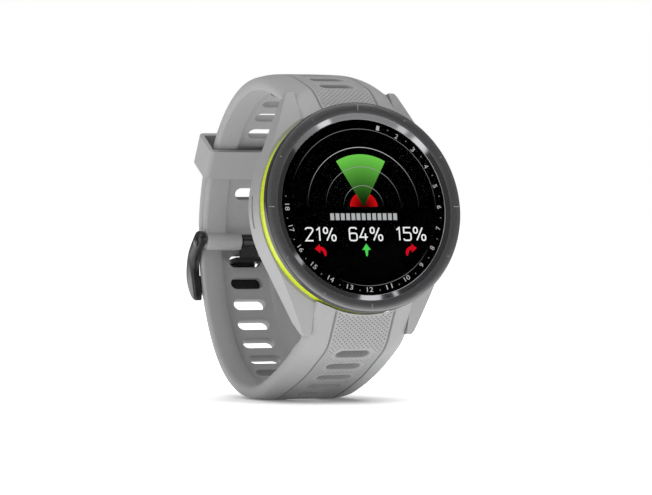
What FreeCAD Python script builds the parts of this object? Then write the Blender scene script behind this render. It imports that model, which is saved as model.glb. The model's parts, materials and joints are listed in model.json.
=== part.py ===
import FreeCAD, Part
import math
import os
import re
import Sketcher
from FreeCAD import Placement, Rotation, Vector

# Golf GPS watch, buckled into a closed loop and standing on its strap.
#
# Every piece is drawn in the watch frame, in millimetres: X towards 3 o'clock, Y towards
# 12 o'clock and Z out of the display, with the origin at the centre of the bezel's front
# face. place_on_floor then leans the whole watch back and stands it on its strap, so that
# +Z is up, the display faces -Y, and the origin is under the middle of the object.
#
# The strap is drawn in its side view, where "depth" is the distance behind the bezel's
# front face (-Z) and "rise" is the distance towards 12 o'clock (+Y). Both strap halves
# follow tangent arcs. An angle about the loop's centre is 0 straight behind the watch
# and 90 towards 12 o'clock.

SIZES = {
    # bezel, lens and display, from the front face backwards
    "bezel_radius": 21.0,
    "bezel_flat_radius": 18.75,
    "bezel_edge": 0.4,
    "bezel_depth": 1.6,
    "bezel_foot_radius": 20.2,
    "bezel_foot_depth": 2.4,
    "seat_radius": 16.3,
    "seat_depth": 1.9,
    "skirt_radius": 19.5,
    "skirt_wall": 0.8,
    "skirt_depth": 5.6,
    "lens_radius": 17.55,
    "lens_recess": 0.4,
    "lens_back": 1.6,
    "fit_gap": 0.05,
    "gasket_inner": 16.4,
    "panel_radius": 15.9,
    "panel_back": 2.8,
    "accent_radius": 20.6,
    "accent_front": 2.45,
    "accent_edge": 0.25,
    # case
    "case_front": 4.3,
    "case_back_depth": 9.6,
    "case_radius": 20.9,
    "cavity_radius": 18.2,
    "shoulder_width": 19.3,
    "shoulder_rise": 8.0,
    "lug_width": 12.2,
    "lug_tip": 24.4,
    "lug_gap": 10.4,
    "notch_foot": 16.8,
    "lug_cone_radius": 21.25,
    "lug_cone_slope": 0.55,
    "lug_heel_rise": 21.5,
    "lug_heel_drop": 1.0,
    # back cover
    "cover_radius": 19.9,
    "cover_edge": 10.7,
    "cover_face": 11.4,
    "bump_foot": 12.2,
    "bump_radius": 10.6,
    "bump_face": 12.3,
    "window_radius": 7.9,
    "window_seat": 11.6,
    "optics_radius": 7.0,
    "optics_shelf": 10.6,
    "optics_outer": 8.2,
    "groove_inner": 18.5,
    "groove_outer": 19.3,
    "groove_depth": 10.2,
    # electronics
    "antenna_inner": 16.9,
    "antenna_outer": 18.4,
    "antenna_front": 2.6,
    "antenna_back": 3.4,
    "tray_radius": 15.4,
    "tray_front": 2.9,
    "tray_floor": 3.6,
    "board_radius": 15.2,
    "board_front": 4.5,
    "board_back": 5.3,
    "chip_back": 6.1,
    "battery_width": 21.0,
    "battery_height": 18.0,
    "battery_shift": -3.5,
    "battery_front": 6.3,
    "battery_back": 9.2,
    "motor_place": 11.4,
    "motor_radius": 3.3,
    "motor_back": 8.9,
    # cover screws
    "screw_place": 12.1,
    "boss_radius": 1.6,
    "boss_front": 5.9,
    "screw_radius": 0.58,
    "screw_hole": 0.6,
    "screw_head": 1.25,
    "head_depth": 0.8,
    "driver_socket": 0.45,
    # charging port
    "port_rise": -15.0,
    "port_width": 6.4,
    "port_height": 3.2,
    "contact_radius": 0.35,
    "contact_pitch": 1.4,
    # side buttons
    "button_depth": 7.4,
    "button_turn": 32.0,
    "button_length": 5.6,
    "button_thick": 2.4,
    "button_foot": 20.2,
    "button_top": 21.7,
    "button_gap": 0.1,
    "pocket_floor": 19.75,
    "stem_radius": 0.8,
    "stem_end": 17.25,
    "clip_radius": 1.4,
    "clip_neck": 0.6,
    "clip_foot": 17.8,
    "clip_thick": 0.3,
    "seal_radius": 1.28,
    "seal_foot": 18.75,
    "seal_thick": 0.5,
    "switch_foot": 15.65,
    "switch_top": 16.8,
    "flex_inner": 15.3,
    "flex_outer": 15.6,
    # air vent in the 9 o'clock side
    "vent_rise": 0.2,
    "vent_depth": 7.75,
    "vent_length": 6.5,
    "vent_width": 0.5,
    "vent_floor": 19.6,
    # spring bars
    "bar_rise": 22.6,
    "bar_depth": 7.6,
    "bar_radius": 0.75,
    "bar_end": 10.1,
    "tip_radius": 0.4,
    "tip_end": 11.3,
    "tip_hole_end": 11.6,
    "bore_start": 3.0,
    "plunger_start": 4.6,
    "knob_place": 7.0,
    "knob_length": 0.8,
    "knob_half": 0.25,
    "knob_depth": 9.4,
    "lever_travel": 1.3,
    # strap
    "loop_depth": 28.5,
    "loop_rise": -1.5,
    "strap_thick": 2.3,
    "short_radius": 33.0,
    "short_bend_radius": 28.2,
    "short_lug_radius": 69.0,
    "tail_radius": 35.4,
    "long_lug_radius": 79.0,
    "long_start_depth": 8.1,
    "long_start_rise": -24.6,
    "strap_front_half": 11.0,
    "strap_back_half": 10.0,
    "strap_end_half": 10.3,
    "ridge_half": 8.2,
    "ridge_height": 1.2,
    "strap_end_radius": 21.15,
    "strap_end_front": 3.9,
    "slot_half": 3.6,
    "slot_width": 2.5,
    "floor_patch": 0.15,
    # buckle and keeper
    "pin_reach": 31.2,
    "pin_angle": 8.6,
    "pin_radius": 0.6,
    "pin_end": 12.0,
    "knuckle_radius": 1.75,
    "hub_radius": 1.4,
    "hub_half": 1.9,
    "hub_notch": 2.15,
    "arm_inner": 10.45,
    "arm_outer": 12.2,
    "bar_inner_reach": 36.1,
    "bar_outer_reach": 38.2,
    "rest_reach": 36.8,
    "rest_half": 3.5,
    "blade_half": 3.1,
    "blade_thick": 1.0,
    "keeper_angle": 41.0,
    "keeper_length": 6.5,
    "keeper_inner_reach": 30.3,
    "keeper_outer_reach": 36.3,
    "keeper_half": 11.1,
    "keeper_wall": 1.0,
    # stance
    "lean": 10.1,
}

# Normal angles where one strap arc meets the next, in degrees about each arc's own centre.
SHORT_ANGLES = {"end": 5.2, "top": 75.0, "slope": 112.0, "lug": 124.0}
LONG_ANGLES = {"end": 41.0, "buckle": -10.3, "heel": -28.1, "front": -98.0, "lug": -117.0}

# How far the strap's raised middle stands above its edges, at normal angles of its arcs.
RIDGE_HEIGHTS = {
    "short": [(45.0, 0.0), (58.0, 0.6), (75.0, 0.8), (95.0, 0.8), (104.0, 0.9), (112.0, 1.2),
              (118.0, 1.6), (124.0, 1.2)],
    "long": [(40.9, 0.0), (38.0, 0.4), (20.0, 0.5), (0.0, 0.5), (-20.0, 0.5), (-40.0, 0.6),
             (-70.0, 0.7), (-95.0, 0.8), (-106.0, 0.9), (-112.0, 1.2), (-117.0, 1.2)],
}
FIRST_SLOT = {"short": 26.9, "long": 26.0}

# Slot spacings along the edge, as (how many, spacing) from the first slot to the lug. They
# open out round the bottom bend.
SLOT_RUNS = {
    "short": [(11, 5.1)],
    "long": [(3, 5.08), (6, 4.93), (4, 5.6), (4, 5.2)],
}
SLOT_REACH = 4.0

NODES = []
doc = FreeCAD.newDocument("GolfWatch")
sheet = doc.addObject("Spreadsheet::Sheet", "Sizes")


def fill_sheet():
    """Write the driving dimensions into the spreadsheet, one named row each."""
    for row, (name, number) in enumerate(SIZES.items(), start=1):
        sheet.set("A%d" % row, name)
        sheet.set("B%d" % row, str(number))
        sheet.setAlias("B%d" % row, name)
    doc.recompute()


def bound(text):
    """An expression on the sheet's names, written for use outside the sheet."""
    return re.sub(r"[a-z]\w*", lambda word: "Sizes." + word.group(), text)


def size(text):
    """The number that an expression on the sheet's names stands for."""
    return float(sheet.evalExpression(bound(text)))


def bind(thing, **expressions):
    """Bind an object's properties to expressions on the sheet's names."""
    for name, text in expressions.items():
        thing.setExpression(name, bound(text))


def node(thing, name):
    """Mark an object as a finished sub-part."""
    thing.Label = name
    NODES.append(thing)
    return thing


# ---------------------------------------------------------------- modelling helpers

def new_body(name):
    return doc.addObject("PartDesign::Body", name)


def new_sketch(body, role):
    """An empty sketch on one of the body's own origin planes."""
    sketch = body.newObject("Sketcher::SketchObject", body.Name + "_sketch")
    plane = next(f for f in body.Origin.OriginFeatures if f.Role == role)
    sketch.AttachmentSupport = [(plane, "")]
    sketch.MapMode = "FlatFace"
    return sketch


def add_polygon(sketch, corners):
    """A closed outline whose corners are pairs of expressions."""
    spots = [tuple(size(part) for part in corner) for corner in corners]
    first = sketch.GeometryCount
    count = len(spots)
    for step in range(count):
        begin = Vector(*spots[step], 0)
        finish = Vector(*spots[(step + 1) % count], 0)
        sketch.addGeometry(Part.LineSegment(begin, finish))
    for step in range(count):
        pair = (first + step, 2, first + (step + 1) % count, 1)
        sketch.addConstraint(Sketcher.Constraint("Coincident", *pair))
    for step, corner in enumerate(corners):
        for kind, text in zip(("DistanceX", "DistanceY"), corner):
            limit = Sketcher.Constraint(kind, -1, 1, first + step, 1, size(text))
            row = sketch.addConstraint(limit)
            sketch.setExpression("Constraints[%d]" % row, bound(text))


def add_circle(sketch, across, along, radius):
    """A circle whose centre and radius are expressions."""
    middle = Vector(size(across), size(along), 0)
    item = sketch.addGeometry(Part.Circle(middle, Vector(0, 0, 1), size(radius)))
    for kind, text in (("DistanceX", across), ("DistanceY", along)):
        row = sketch.addConstraint(Sketcher.Constraint(kind, -1, 1, item, 3, size(text)))
        sketch.setExpression("Constraints[%d]" % row, bound(text))
    row = sketch.addConstraint(Sketcher.Constraint("Radius", item, size(radius)))
    sketch.setExpression("Constraints[%d]" % row, bound(radius))


def rectangle(left, right, low, high):
    return [(left, low), (right, low), (right, high), (left, high)]


def turned(name, profile, angle=360):
    """A body turned about Z. The profile's corners are (radius, height) expressions."""
    body = new_body(name)
    sketch = new_sketch(body, "XZ_Plane")
    add_polygon(sketch, profile)
    turn = body.newObject("PartDesign::Revolution", name + "_turn")
    turn.Profile = sketch
    turn.ReferenceAxis = (sketch, ["V_Axis"])
    turn.Angle = angle
    turn.Midplane = angle < 360
    doc.recompute()
    return body


def feature_on(body, kind, sketch, depth_from, length):
    """A pad or pocket of a sketch on the XY plane, from one depth backwards."""
    sketch.setExpression("AttachmentOffset.Base.z", bound("-(" + depth_from + ")"))
    feature = body.newObject("PartDesign::" + kind, body.Name + "_" + kind.lower())
    feature.Profile = sketch
    bind(feature, Length=length)
    feature.Reversed = kind == "Pad"
    doc.recompute()
    return feature


def slab(name, outline, front, back):
    """A flat plate: an outline in the XY plane, from one depth to another."""
    body = new_body(name)
    sketch = new_sketch(body, "XY_Plane")
    add_polygon(sketch, outline)
    feature_on(body, "Pad", sketch, front, back + " - " + front)
    return body


def pocket_outline(body, outline, front, back):
    """Cut an outline in the XY plane out of a body, from one depth to another."""
    before = body.Shape.Volume
    sketch = new_sketch(body, "XY_Plane")
    add_polygon(sketch, outline)
    feature_on(body, "Pocket", sketch, front, back + " - (" + front + ")")
    if body.Shape.Volume >= before:
        raise ValueError(body.Name + ": the pocket cuts nothing")


def pocket_circles(body, circles, front, back):
    """Cut circles in the XY plane out of a body, from one depth to another."""
    before = body.Shape.Volume
    sketch = new_sketch(body, "XY_Plane")
    for across, along, radius in circles:
        add_circle(sketch, across, along, radius)
    feature_on(body, "Pocket", sketch, front, back + " - (" + front + ")")
    if body.Shape.Volume >= before:
        raise ValueError(body.Name + ": the pocket cuts nothing")


def side_pocket(body, outline, half_width):
    """Cut an outline in the YZ plane out of a body, evenly to both sides."""
    before = body.Shape.Volume
    sketch = new_sketch(body, "YZ_Plane")
    add_polygon(sketch, outline)
    pocket = body.newObject("PartDesign::Pocket", body.Name + "_side")
    pocket.Profile = sketch
    pocket.Midplane = True
    bind(pocket, Length="2 * (" + half_width + ")")
    doc.recompute()
    if body.Shape.Volume >= before:
        raise ValueError(body.Name + ": the side pocket cuts nothing")


def turned_groove(body, profile):
    """Cut a profile of (radius, height) expressions, turned about Z, out of a body."""
    before = body.Shape.Volume
    sketch = new_sketch(body, "XZ_Plane")
    add_polygon(sketch, profile)
    groove = body.newObject("PartDesign::Groove", body.Name + "_groove")
    groove.Profile = sketch
    groove.ReferenceAxis = (sketch, ["V_Axis"])
    groove.Angle = 360
    doc.recompute()
    if body.Shape.Volume >= before:
        raise ValueError(body.Name + ": the groove cuts nothing")


def box(name, x_range, y_range, z_range):
    """A Part::Box between pairs of expressions."""
    thing = doc.addObject("Part::Box", name)
    sides = zip(("Length", "Width", "Height"), ("x", "y", "z"), (x_range, y_range, z_range))
    for side, axis, (low, high) in sides:
        thing.setExpression(side, bound("(" + high + ") - (" + low + ")"))
        thing.setExpression("Placement.Base." + axis, bound(low))
    return thing


def cylinder(name, radius, length, place, direction):
    """A Part::Cylinder from a place, as three expressions, along a direction."""
    thing = doc.addObject("Part::Cylinder", name)
    thing.Placement.Rotation = Rotation(Vector(0, 0, 1), direction)
    bind(thing, Radius=radius, Height=length)
    for axis, text in zip("xyz", place):
        thing.setExpression("Placement.Base." + axis, bound(text))
    return thing


def fuse(name, things):
    joined = doc.addObject("Part::MultiFuse", name)
    joined.Shapes = things
    joined.Refine = True
    return joined


def cut(name, base, tools):
    """A base with one or more tools taken away."""
    result = doc.addObject("Part::Cut", name)
    result.Base = base
    result.Tool = tools[0] if len(tools) == 1 else fuse(name + "_tools", tools)
    return result


def group(name, things):
    """Several separate solids in one sub-part."""
    joined = doc.addObject("Part::Compound", name)
    joined.Links = things
    return joined


def solid_node(name, shape):
    """A sub-part whose shape is worked out here."""
    thing = doc.addObject("Part::Feature", name)
    thing.Shape = shape
    return node(thing, name)


# ---------------------------------------------------------------- watch head

def make_bezel():
    profile = [
        ("lens_radius + fit_gap", "-lens_recess - fit_gap"),
        ("bezel_flat_radius", "0"),
        ("bezel_radius - bezel_edge", "0"),
        ("bezel_radius", "-bezel_edge"),
        ("bezel_radius", "-bezel_depth"),
        ("bezel_foot_radius", "-bezel_depth - 0.2"),
        ("bezel_foot_radius", "-bezel_foot_depth"),
        ("skirt_radius", "-bezel_foot_depth"),
        ("skirt_radius", "-skirt_depth"),
        ("skirt_radius - skirt_wall", "-skirt_depth"),
        ("skirt_radius - skirt_wall", "-bezel_foot_depth"),
        ("seat_radius", "-bezel_foot_depth"),
        ("seat_radius", "-seat_depth"),
        ("lens_radius + fit_gap", "-seat_depth"),
    ]
    node(turned("bezel", profile), "bezel")


def make_accent_ring():
    profile = [
        ("skirt_radius + fit_gap", "-accent_front"),
        ("accent_radius - accent_edge", "-accent_front"),
        ("accent_radius", "-accent_front - accent_edge"),
        ("accent_radius", "-case_front"),
        ("skirt_radius + fit_gap", "-case_front"),
    ]
    node(turned("accent_ring", profile), "accent_ring")


def make_lens():
    profile = [
        ("0", "-lens_recess"),
        ("lens_radius - 0.25", "-lens_recess"),
        ("lens_radius", "-lens_recess - 0.25"),
        ("lens_radius", "-lens_back"),
        ("0", "-lens_back"),
    ]
    node(turned("lens", profile), "lens")


def make_turned_plates():
    """The flat round pieces of the head, each between two radii and two depths."""
    plates = {
        "lens_gasket": ("gasket_inner", "lens_radius", "lens_back", "seat_depth"),
        "display_panel": ("0", "panel_radius", "lens_back", "panel_back"),
        "gps_antenna": ("antenna_inner", "antenna_outer", "antenna_front", "antenna_back"),
        "main_board": ("0", "board_radius", "board_front", "board_back"),
        "back_gasket": ("groove_inner + 0.1", "groove_outer - 0.1", "case_back_depth",
                        "groove_depth"),
        "sensor_window": ("0", "window_radius - fit_gap", "window_seat", "bump_face + 0.1"),
        "sensor_board": ("0", "optics_outer - 0.2", "optics_shelf - 0.7", "optics_shelf"),
    }
    for name, (inner, outer, front, back) in plates.items():
        profile = rectangle(inner, outer, "-(" + back + ")", "-(" + front + ")")
        node(turned(name, profile), name)


def make_inner_frame():
    """The tray that holds the display off the main board."""
    profile = [
        ("0", "-tray_front"),
        ("tray_radius", "-tray_front"),
        ("tray_radius", "-board_front"),
        ("tray_radius - 0.8", "-board_front"),
        ("tray_radius - 0.8", "-tray_floor"),
        ("0", "-tray_floor"),
    ]
    node(turned("inner_frame", profile), "inner_frame")


def make_electronics():
    """Battery, vibration motor, soldered parts and the optical sensor's parts."""
    half_height = "battery_height / 2"
    battery = slab("battery", rectangle("battery_shift - battery_width / 2",
                                        "battery_shift + battery_width / 2",
                                        "-" + half_height, half_height),
                   "battery_front", "battery_back")
    node(battery, "battery")
    motor = cylinder("motor_can", "motor_radius", "motor_back - battery_front",
                     ("motor_place", "0", "-motor_back"), Vector(0, 0, 1))
    node(group("vibration_motor", [motor]), "vibration_motor")
    shield = box("shield_can", ("-9", "1"), ("-6", "6"), ("-chip_back", "-board_back"))
    memory = box("memory_chip", ("3", "8"), ("-7", "-1"), ("-chip_back", "-board_back"))
    radio = box("radio_chip", ("3", "7"), ("1.5", "6.5"), ("-chip_back", "-board_back"))
    node(group("board_components", [shield, memory, radio]), "board_components")
    spots = []
    for step in range(4):
        angle = math.radians(45 + 90 * step)
        across = str(round(3.6 * math.cos(angle), 3))
        along = str(round(3.6 * math.sin(angle), 3))
        place = (across, along, "-optics_shelf - 0.6")
        spots.append(cylinder("led_%d" % step, "0.9", "0.6", place, Vector(0, 0, 1)))
    node(group("sensor_leds", spots), "sensor_leds")


def lug_outline():
    """The case's plan from the shoulders to the lug tips."""
    corners = [("shoulder_width", "shoulder_rise"), ("lug_width", "lug_tip - 0.6"),
               ("lug_width - 0.5", "lug_tip")]
    left = [("-(" + x + ")", y) for x, y in reversed(corners)]
    lower_left = [("-(" + x + ")", "-(" + y + ")") for x, y in corners]
    lower_right = [(x, "-(" + y + ")") for x, y in reversed(corners)]
    return corners + left + lower_left + lower_right


def make_case_blank():
    """The case before its side holes: a round middle with four lugs and a cavity."""
    body = slab("case_blank", lug_outline(), "case_front", "case_back_depth")
    for sign in ("", "-"):
        low = sign + "notch_foot"
        high = sign + "(lug_tip + 1)"
        pocket_outline(body, rectangle("-lug_gap", "lug_gap", low, high),
                       "case_front", "case_back_depth")
        heel = [(sign + "lug_heel_rise", "-case_back_depth"),
                (sign + "(lug_tip + 0.1)", "-case_back_depth"),
                (sign + "(lug_tip + 0.1)", "-case_back_depth + lug_heel_drop")]
        side_pocket(body, heel, "case_radius")
    cone = [("lug_cone_radius", "-case_front"),
            ("lug_cone_radius + 8", "-case_front - 8 * lug_cone_slope"),
            ("lug_cone_radius + 8", "-case_front + 1"),
            ("lug_cone_radius", "-case_front + 1")]
    turned_groove(body, cone)
    round_sketch = new_sketch(body, "XY_Plane")
    add_circle(round_sketch, "0", "0", "case_radius")
    feature_on(body, "Pad", round_sketch, "case_front", "case_back_depth - case_front")
    middle = [("0", "0", "skirt_radius + fit_gap")]
    pocket_circles(body, middle, "case_front", "skirt_depth")
    pocket_circles(body, [("0", "0", "cavity_radius")], "case_front", "case_back_depth")
    return body


def corner_places():
    """The four screw places, as pairs of expressions."""
    return [(x + "screw_place", y + "screw_place") for x in ("", "-") for y in ("", "-")]


def make_case_body(blank):
    """The case: screw bosses added; screw, button, vent and spring bar holes cut."""
    up = Vector(0, 0, 1)
    bosses = []
    tools = []
    for step, (x, y) in enumerate(corner_places()):
        bosses.append(cylinder("boss_%d" % step, "boss_radius", "case_back_depth - boss_front",
                               (x, y, "-case_back_depth"), up))
        tools.append(cylinder("thread_%d" % step, "screw_hole", "3",
                              (x, y, "-case_back_depth"), up))
    for name, turn in button_turns().items():
        tools.extend(button_cutters(name, turn))
    vent = ("vent_rise - vent_length / 2", "vent_rise + vent_length / 2")
    tools.append(box("vent_slot", ("-case_radius - 1", "-vent_floor"), vent,
                     ("-vent_depth - vent_width / 2", "-vent_depth + vent_width / 2")))
    tools.append(cylinder("vent_duct", "0.2", "vent_floor - cavity_radius + 1",
                          ("-vent_floor - 0.2", "vent_rise", "-vent_depth"), Vector(1, 0, 0)))
    for sign in ("", "-"):
        tools.append(cylinder("tip_holes", "tip_radius + fit_gap", "2 * tip_hole_end",
                              ("-tip_hole_end", sign + "bar_rise", "-bar_depth"),
                              Vector(1, 0, 0)))
    whole = fuse("case_whole", [blank] + bosses)
    node(cut("case_body", whole, tools), "case_body")


def make_vent():
    membrane = box("membrane", ("-vent_floor - 0.3", "-vent_floor"),
                   ("vent_rise - vent_length / 2 + 0.1", "vent_rise + vent_length / 2 - 0.1"),
                   ("-vent_depth - vent_width / 2 + 0.05",
                    "-vent_depth + vent_width / 2 - 0.05"))
    node(group("vent_membrane", [membrane]), "vent_membrane")


def make_case_back():
    """The back cover: a rim with a gasket groove and a raised ring round the sensor."""
    profile = [
        ("optics_outer", "-case_back_depth"),
        ("groove_inner", "-case_back_depth"),
        ("groove_inner", "-groove_depth"),
        ("groove_outer", "-groove_depth"),
        ("groove_outer", "-case_back_depth"),
        ("cover_radius", "-case_back_depth"),
        ("cover_radius", "-cover_edge"),
        ("cover_radius - 0.9", "-cover_face"),
        ("bump_foot", "-cover_face"),
        ("bump_radius", "-bump_face"),
        ("window_radius", "-bump_face"),
        ("window_radius", "-window_seat"),
        ("optics_radius", "-window_seat"),
        ("optics_radius", "-optics_shelf"),
        ("optics_outer", "-optics_shelf"),
    ]
    body = turned("case_back", profile)
    holes = [(x, y, "screw_hole + fit_gap") for x, y in corner_places()]
    pocket_circles_through(body, holes, "case_back_depth", "cover_face")
    heads = [(x, y, "screw_head + 0.1") for x, y in corner_places()]
    pocket_circles_through(body, heads, "cover_face - head_depth", "cover_face")
    port = rectangle("-port_width / 2", "port_width / 2", "port_rise - port_height / 2",
                     "port_rise + port_height / 2")
    pocket_outline(body, port, "case_back_depth", "cover_face")
    node(body, "case_back")


def pocket_circles_through(body, circles, front, back):
    """Cut each circle with a pocket of its own."""
    for circle in circles:
        pocket_circles(body, [circle], front, back)


def make_case_screws():
    """Four identical cover screws, each with a driver socket."""
    screws = []
    down = Vector(0, 0, 1)
    for step, (x, y) in enumerate(corner_places()):
        head = cylinder("head_%d" % step, "screw_head", "head_depth - 0.1",
                        (x, y, "-cover_face + 0.1"), down)
        shank = cylinder("shank_%d" % step, "screw_radius", "3.6",
                         (x, y, "-cover_face + head_depth"), down)
        socket = cylinder("socket_%d" % step, "driver_socket", "0.4",
                          (x, y, "-cover_face + 0.1"), down)
        screws.append(cut("screw_%d" % step, fuse("screw_blank_%d" % step, [head, shank]),
                          [socket]))
    node(group("case_screws", screws), "case_screws")


def make_charge_port():
    """The insulating insert and its four spring contacts."""
    insert = box("port_insert", ("-port_width / 2 + fit_gap", "port_width / 2 - fit_gap"),
                 ("port_rise - port_height / 2 + fit_gap",
                  "port_rise + port_height / 2 - fit_gap"),
                 ("-cover_face + 0.4", "-case_back_depth - 0.2"))
    wells = []
    contacts = []
    for step in range(4):
        across = "%s * contact_pitch" % (step - 1.5)
        wells.append(cylinder("well_%d" % step, "contact_radius", "3",
                              (across, "port_rise", "-cover_face"), Vector(0, 0, 1)))
        contacts.append(cylinder("contact_%d" % step, "contact_radius", "1.6",
                                 (across, "port_rise", "-cover_face + 0.3"),
                                 Vector(0, 0, 1)))
    node(cut("charge_port", insert, wells), "charge_port")
    node(group("charge_contacts", contacts), "charge_contacts")


# ---------------------------------------------------------------- side buttons

def button_turns():
    """Each button's angle from 3 o'clock, as an expression."""
    return {"upper": "button_turn", "middle": "0", "lower": "-button_turn"}


def swing(thing, turn):
    """Turn a piece drawn at 3 o'clock round the watch's axis."""
    spin = Placement(Vector(0, 0, 0), Rotation(Vector(0, 0, 1), size(turn)))
    thing.recompute()
    place = spin.multiply(thing.Placement)
    for axis in "xyz":
        thing.setExpression("Placement.Base." + axis, None)
    thing.Placement = place
    return thing


def radial_rod(name, turn, radius, foot, top):
    """A cylinder along the button's axis between two distances from the centre."""
    rod = cylinder(name, radius, "(" + top + ") - (" + foot + ")",
                   (foot, "0", "-button_depth"), Vector(1, 0, 0))
    return swing(rod, turn)


def radial_block(name, turn, foot, top, length, thick):
    """A block across the button's axis between two distances from the centre."""
    block = box(name, (foot, top), ("-(" + length + ") / 2", "(" + length + ") / 2"),
                ("-button_depth - (" + thick + ") / 2", "-button_depth + (" + thick + ") / 2"))
    return swing(block, turn)


def button_cutters(name, turn):
    """The pocket, stem hole and seal groove of one button."""
    room = "2 * button_gap"
    return [
        radial_block(name + "_pocket", turn, "pocket_floor", "case_radius + 1",
                     "button_length + " + room, "button_thick + " + room),
        radial_rod(name + "_hole", turn, "stem_radius + fit_gap", "cavity_radius - 1",
                   "case_radius"),
        radial_rod(name + "_groove", turn, "seal_radius + 0.02", "seal_foot - 0.02",
                   "seal_foot + seal_thick + 0.02"),
    ]


def make_buttons():
    """Three sprung side buttons, each with its retaining clip."""
    for name, turn in button_turns().items():
        cap = radial_block(name + "_cap", turn, "button_foot", "button_top",
                           "button_length", "button_thick")
        stem = radial_rod(name + "_stem", turn, "stem_radius", "stem_end", "button_foot")
        neck = radial_rod(name + "_neck", turn, "stem_radius + 1", "clip_foot",
                          "clip_foot + clip_thick")
        core = radial_rod(name + "_core", turn, "clip_neck", "clip_foot",
                          "clip_foot + clip_thick")
        grooved = cut(name + "_grooved", stem, [neck])
        button = fuse("button_" + name, [cap, grooved, core])
        node(button, "button_" + name)
        disc = radial_rod(name + "_disc", turn, "clip_radius", "clip_foot",
                          "clip_foot + clip_thick")
        bore = radial_rod(name + "_bore", turn, "clip_neck", "clip_foot",
                          "clip_foot + clip_thick")
        node(cut("button_clip_" + name, disc, [bore]), "button_clip_" + name)


def make_button_seals():
    rings = []
    for name, turn in button_turns().items():
        disc = radial_rod(name + "_seal_disc", turn, "seal_radius", "seal_foot",
                          "seal_foot + seal_thick")
        bore = radial_rod(name + "_seal_bore", turn, "stem_radius + 0.03", "seal_foot - 1",
                          "seal_foot + seal_thick + 1")
        rings.append(cut(name + "_seal", disc, [bore]))
    node(group("button_seals", rings), "button_seals")


def make_side_switches():
    """The dome switches behind the buttons, on a curved flex strip."""
    switches = [radial_block(name + "_switch", turn, "switch_foot", "switch_top", "2.6", "1.8")
                for name, turn in button_turns().items()]
    node(group("side_switches", switches), "side_switches")
    profile = rectangle("flex_inner", "flex_outer", "-8.4", "-board_back - 0.1")
    node(turned("switch_flex", profile, 76), "switch_flex")


# ---------------------------------------------------------------- spring bars

def make_spring_bar(where, sign):
    """A hollow bar with one fixed tip, and the release lever that slides in it."""
    along = Vector(1, 0, 0)
    rise = sign + "bar_rise"
    tube = cylinder(where + "_tube", "bar_radius", "2 * bar_end",
                    ("-bar_end", rise, "-bar_depth"), along)
    fixed_tip = cylinder(where + "_fixed_tip", "tip_radius", "tip_end - bar_end",
                         ("-tip_end", rise, "-bar_depth"), along)
    bore = cylinder(where + "_bore", "tip_radius + fit_gap", "bar_end - bore_start + 1",
                    ("bore_start", rise, "-bar_depth"), along)
    window = box(where + "_window",
                 ("knob_place - lever_travel - 0.2", "knob_place + knob_length + 0.2"),
                 (rise + " - 0.35", rise + " + 0.35"),
                 ("-bar_depth - 2", "-bar_depth"))
    bar = cut("spring_bar_" + where, fuse(where + "_bar", [tube, fixed_tip]), [bore, window])
    node(bar, "spring_bar_" + where)
    plunger = cylinder(where + "_plunger", "tip_radius", "tip_end - plunger_start",
                       ("plunger_start", rise, "-bar_depth"), along)
    knob = box(where + "_knob", ("knob_place", "knob_place + knob_length"),
               (rise + " - knob_half", rise + " + knob_half"),
               ("-knob_depth", "-bar_depth"))
    lever = fuse("release_lever_" + where, [plunger, knob])
    node(lever, "release_lever_" + where)


# ---------------------------------------------------------------- strap

def point(depth, rise, across=0.0):
    """A point of the side view in the watch frame."""
    return Vector(across, rise, -depth)


def heading(angle):
    """The unit step (depth, rise) at an angle of the side view, in degrees."""
    return math.cos(math.radians(angle)), math.sin(math.radians(angle))


def polar(reach, angle, across=0.0):
    """A point at a distance and angle from the loop's centre."""
    step = heading(angle)
    return point(size("loop_depth") + reach * step[0], size("loop_rise") + reach * step[1],
                 across)


def tangent_arcs(centre, pieces):
    """Arcs (centre, radius, from, to) that run on from each other without a corner.

    pieces lists (radius, angle where the arc begins, angle where it ends).
    """
    arcs = []
    for radius, begin, finish in pieces:
        if arcs:
            last_radius = arcs[-1][1]
            step = heading(begin)
            centre = (centre[0] + (last_radius - radius) * step[0],
                      centre[1] + (last_radius - radius) * step[1])
        arcs.append((centre, radius, begin, finish))
    return arcs


def loop_centre():
    return size("loop_depth"), size("loop_rise")


def short_arcs():
    angles = SHORT_ANGLES
    return tangent_arcs(loop_centre(), [
        (size("short_radius"), angles["end"], angles["top"]),
        (size("short_bend_radius"), angles["top"], angles["slope"]),
        (size("short_lug_radius"), angles["slope"], angles["lug"]),
    ])


def long_arcs():
    """The long half's arcs. Its two middle radii are the ones that reach the lug."""
    angles = LONG_ANGLES
    tail = size("tail_radius")
    front = size("long_lug_radius")
    buckle, heel, turn, lug = (heading(angles[name])
                               for name in ("buckle", "heel", "front", "lug"))
    first = (heel[0] - buckle[0], heel[1] - buckle[1])
    second = (turn[0] - heel[0], turn[1] - heel[1])
    gap = [start - centre - tail * step - front * (finish - begin)
           for start, centre, step, begin, finish in (
               (size("long_start_depth"), size("loop_depth"), buckle[0], turn[0], lug[0]),
               (size("long_start_rise"), size("loop_rise"), buckle[1], turn[1], lug[1]))]
    spread = first[0] * second[1] - first[1] * second[0]
    back_radius = (gap[0] * second[1] - gap[1] * second[0]) / spread
    bottom_radius = (first[0] * gap[1] - first[1] * gap[0]) / spread
    return tangent_arcs(loop_centre(), [
        (tail, angles["end"], angles["buckle"]),
        (back_radius, angles["buckle"], angles["heel"]),
        (bottom_radius, angles["heel"], angles["front"]),
        (front, angles["front"], angles["lug"]),
    ])


def clipped(arcs, angle):
    """The arcs from a normal angle on, towards the lug."""
    kept = []
    for centre, radius, begin, finish in arcs:
        inside = min(begin, finish) < angle < max(begin, finish)
        ahead = abs(begin - arcs[-1][3]) < abs(angle - arcs[-1][3])
        if inside or ahead:
            kept.append((centre, radius, angle if inside else begin, finish))
    return kept


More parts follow.
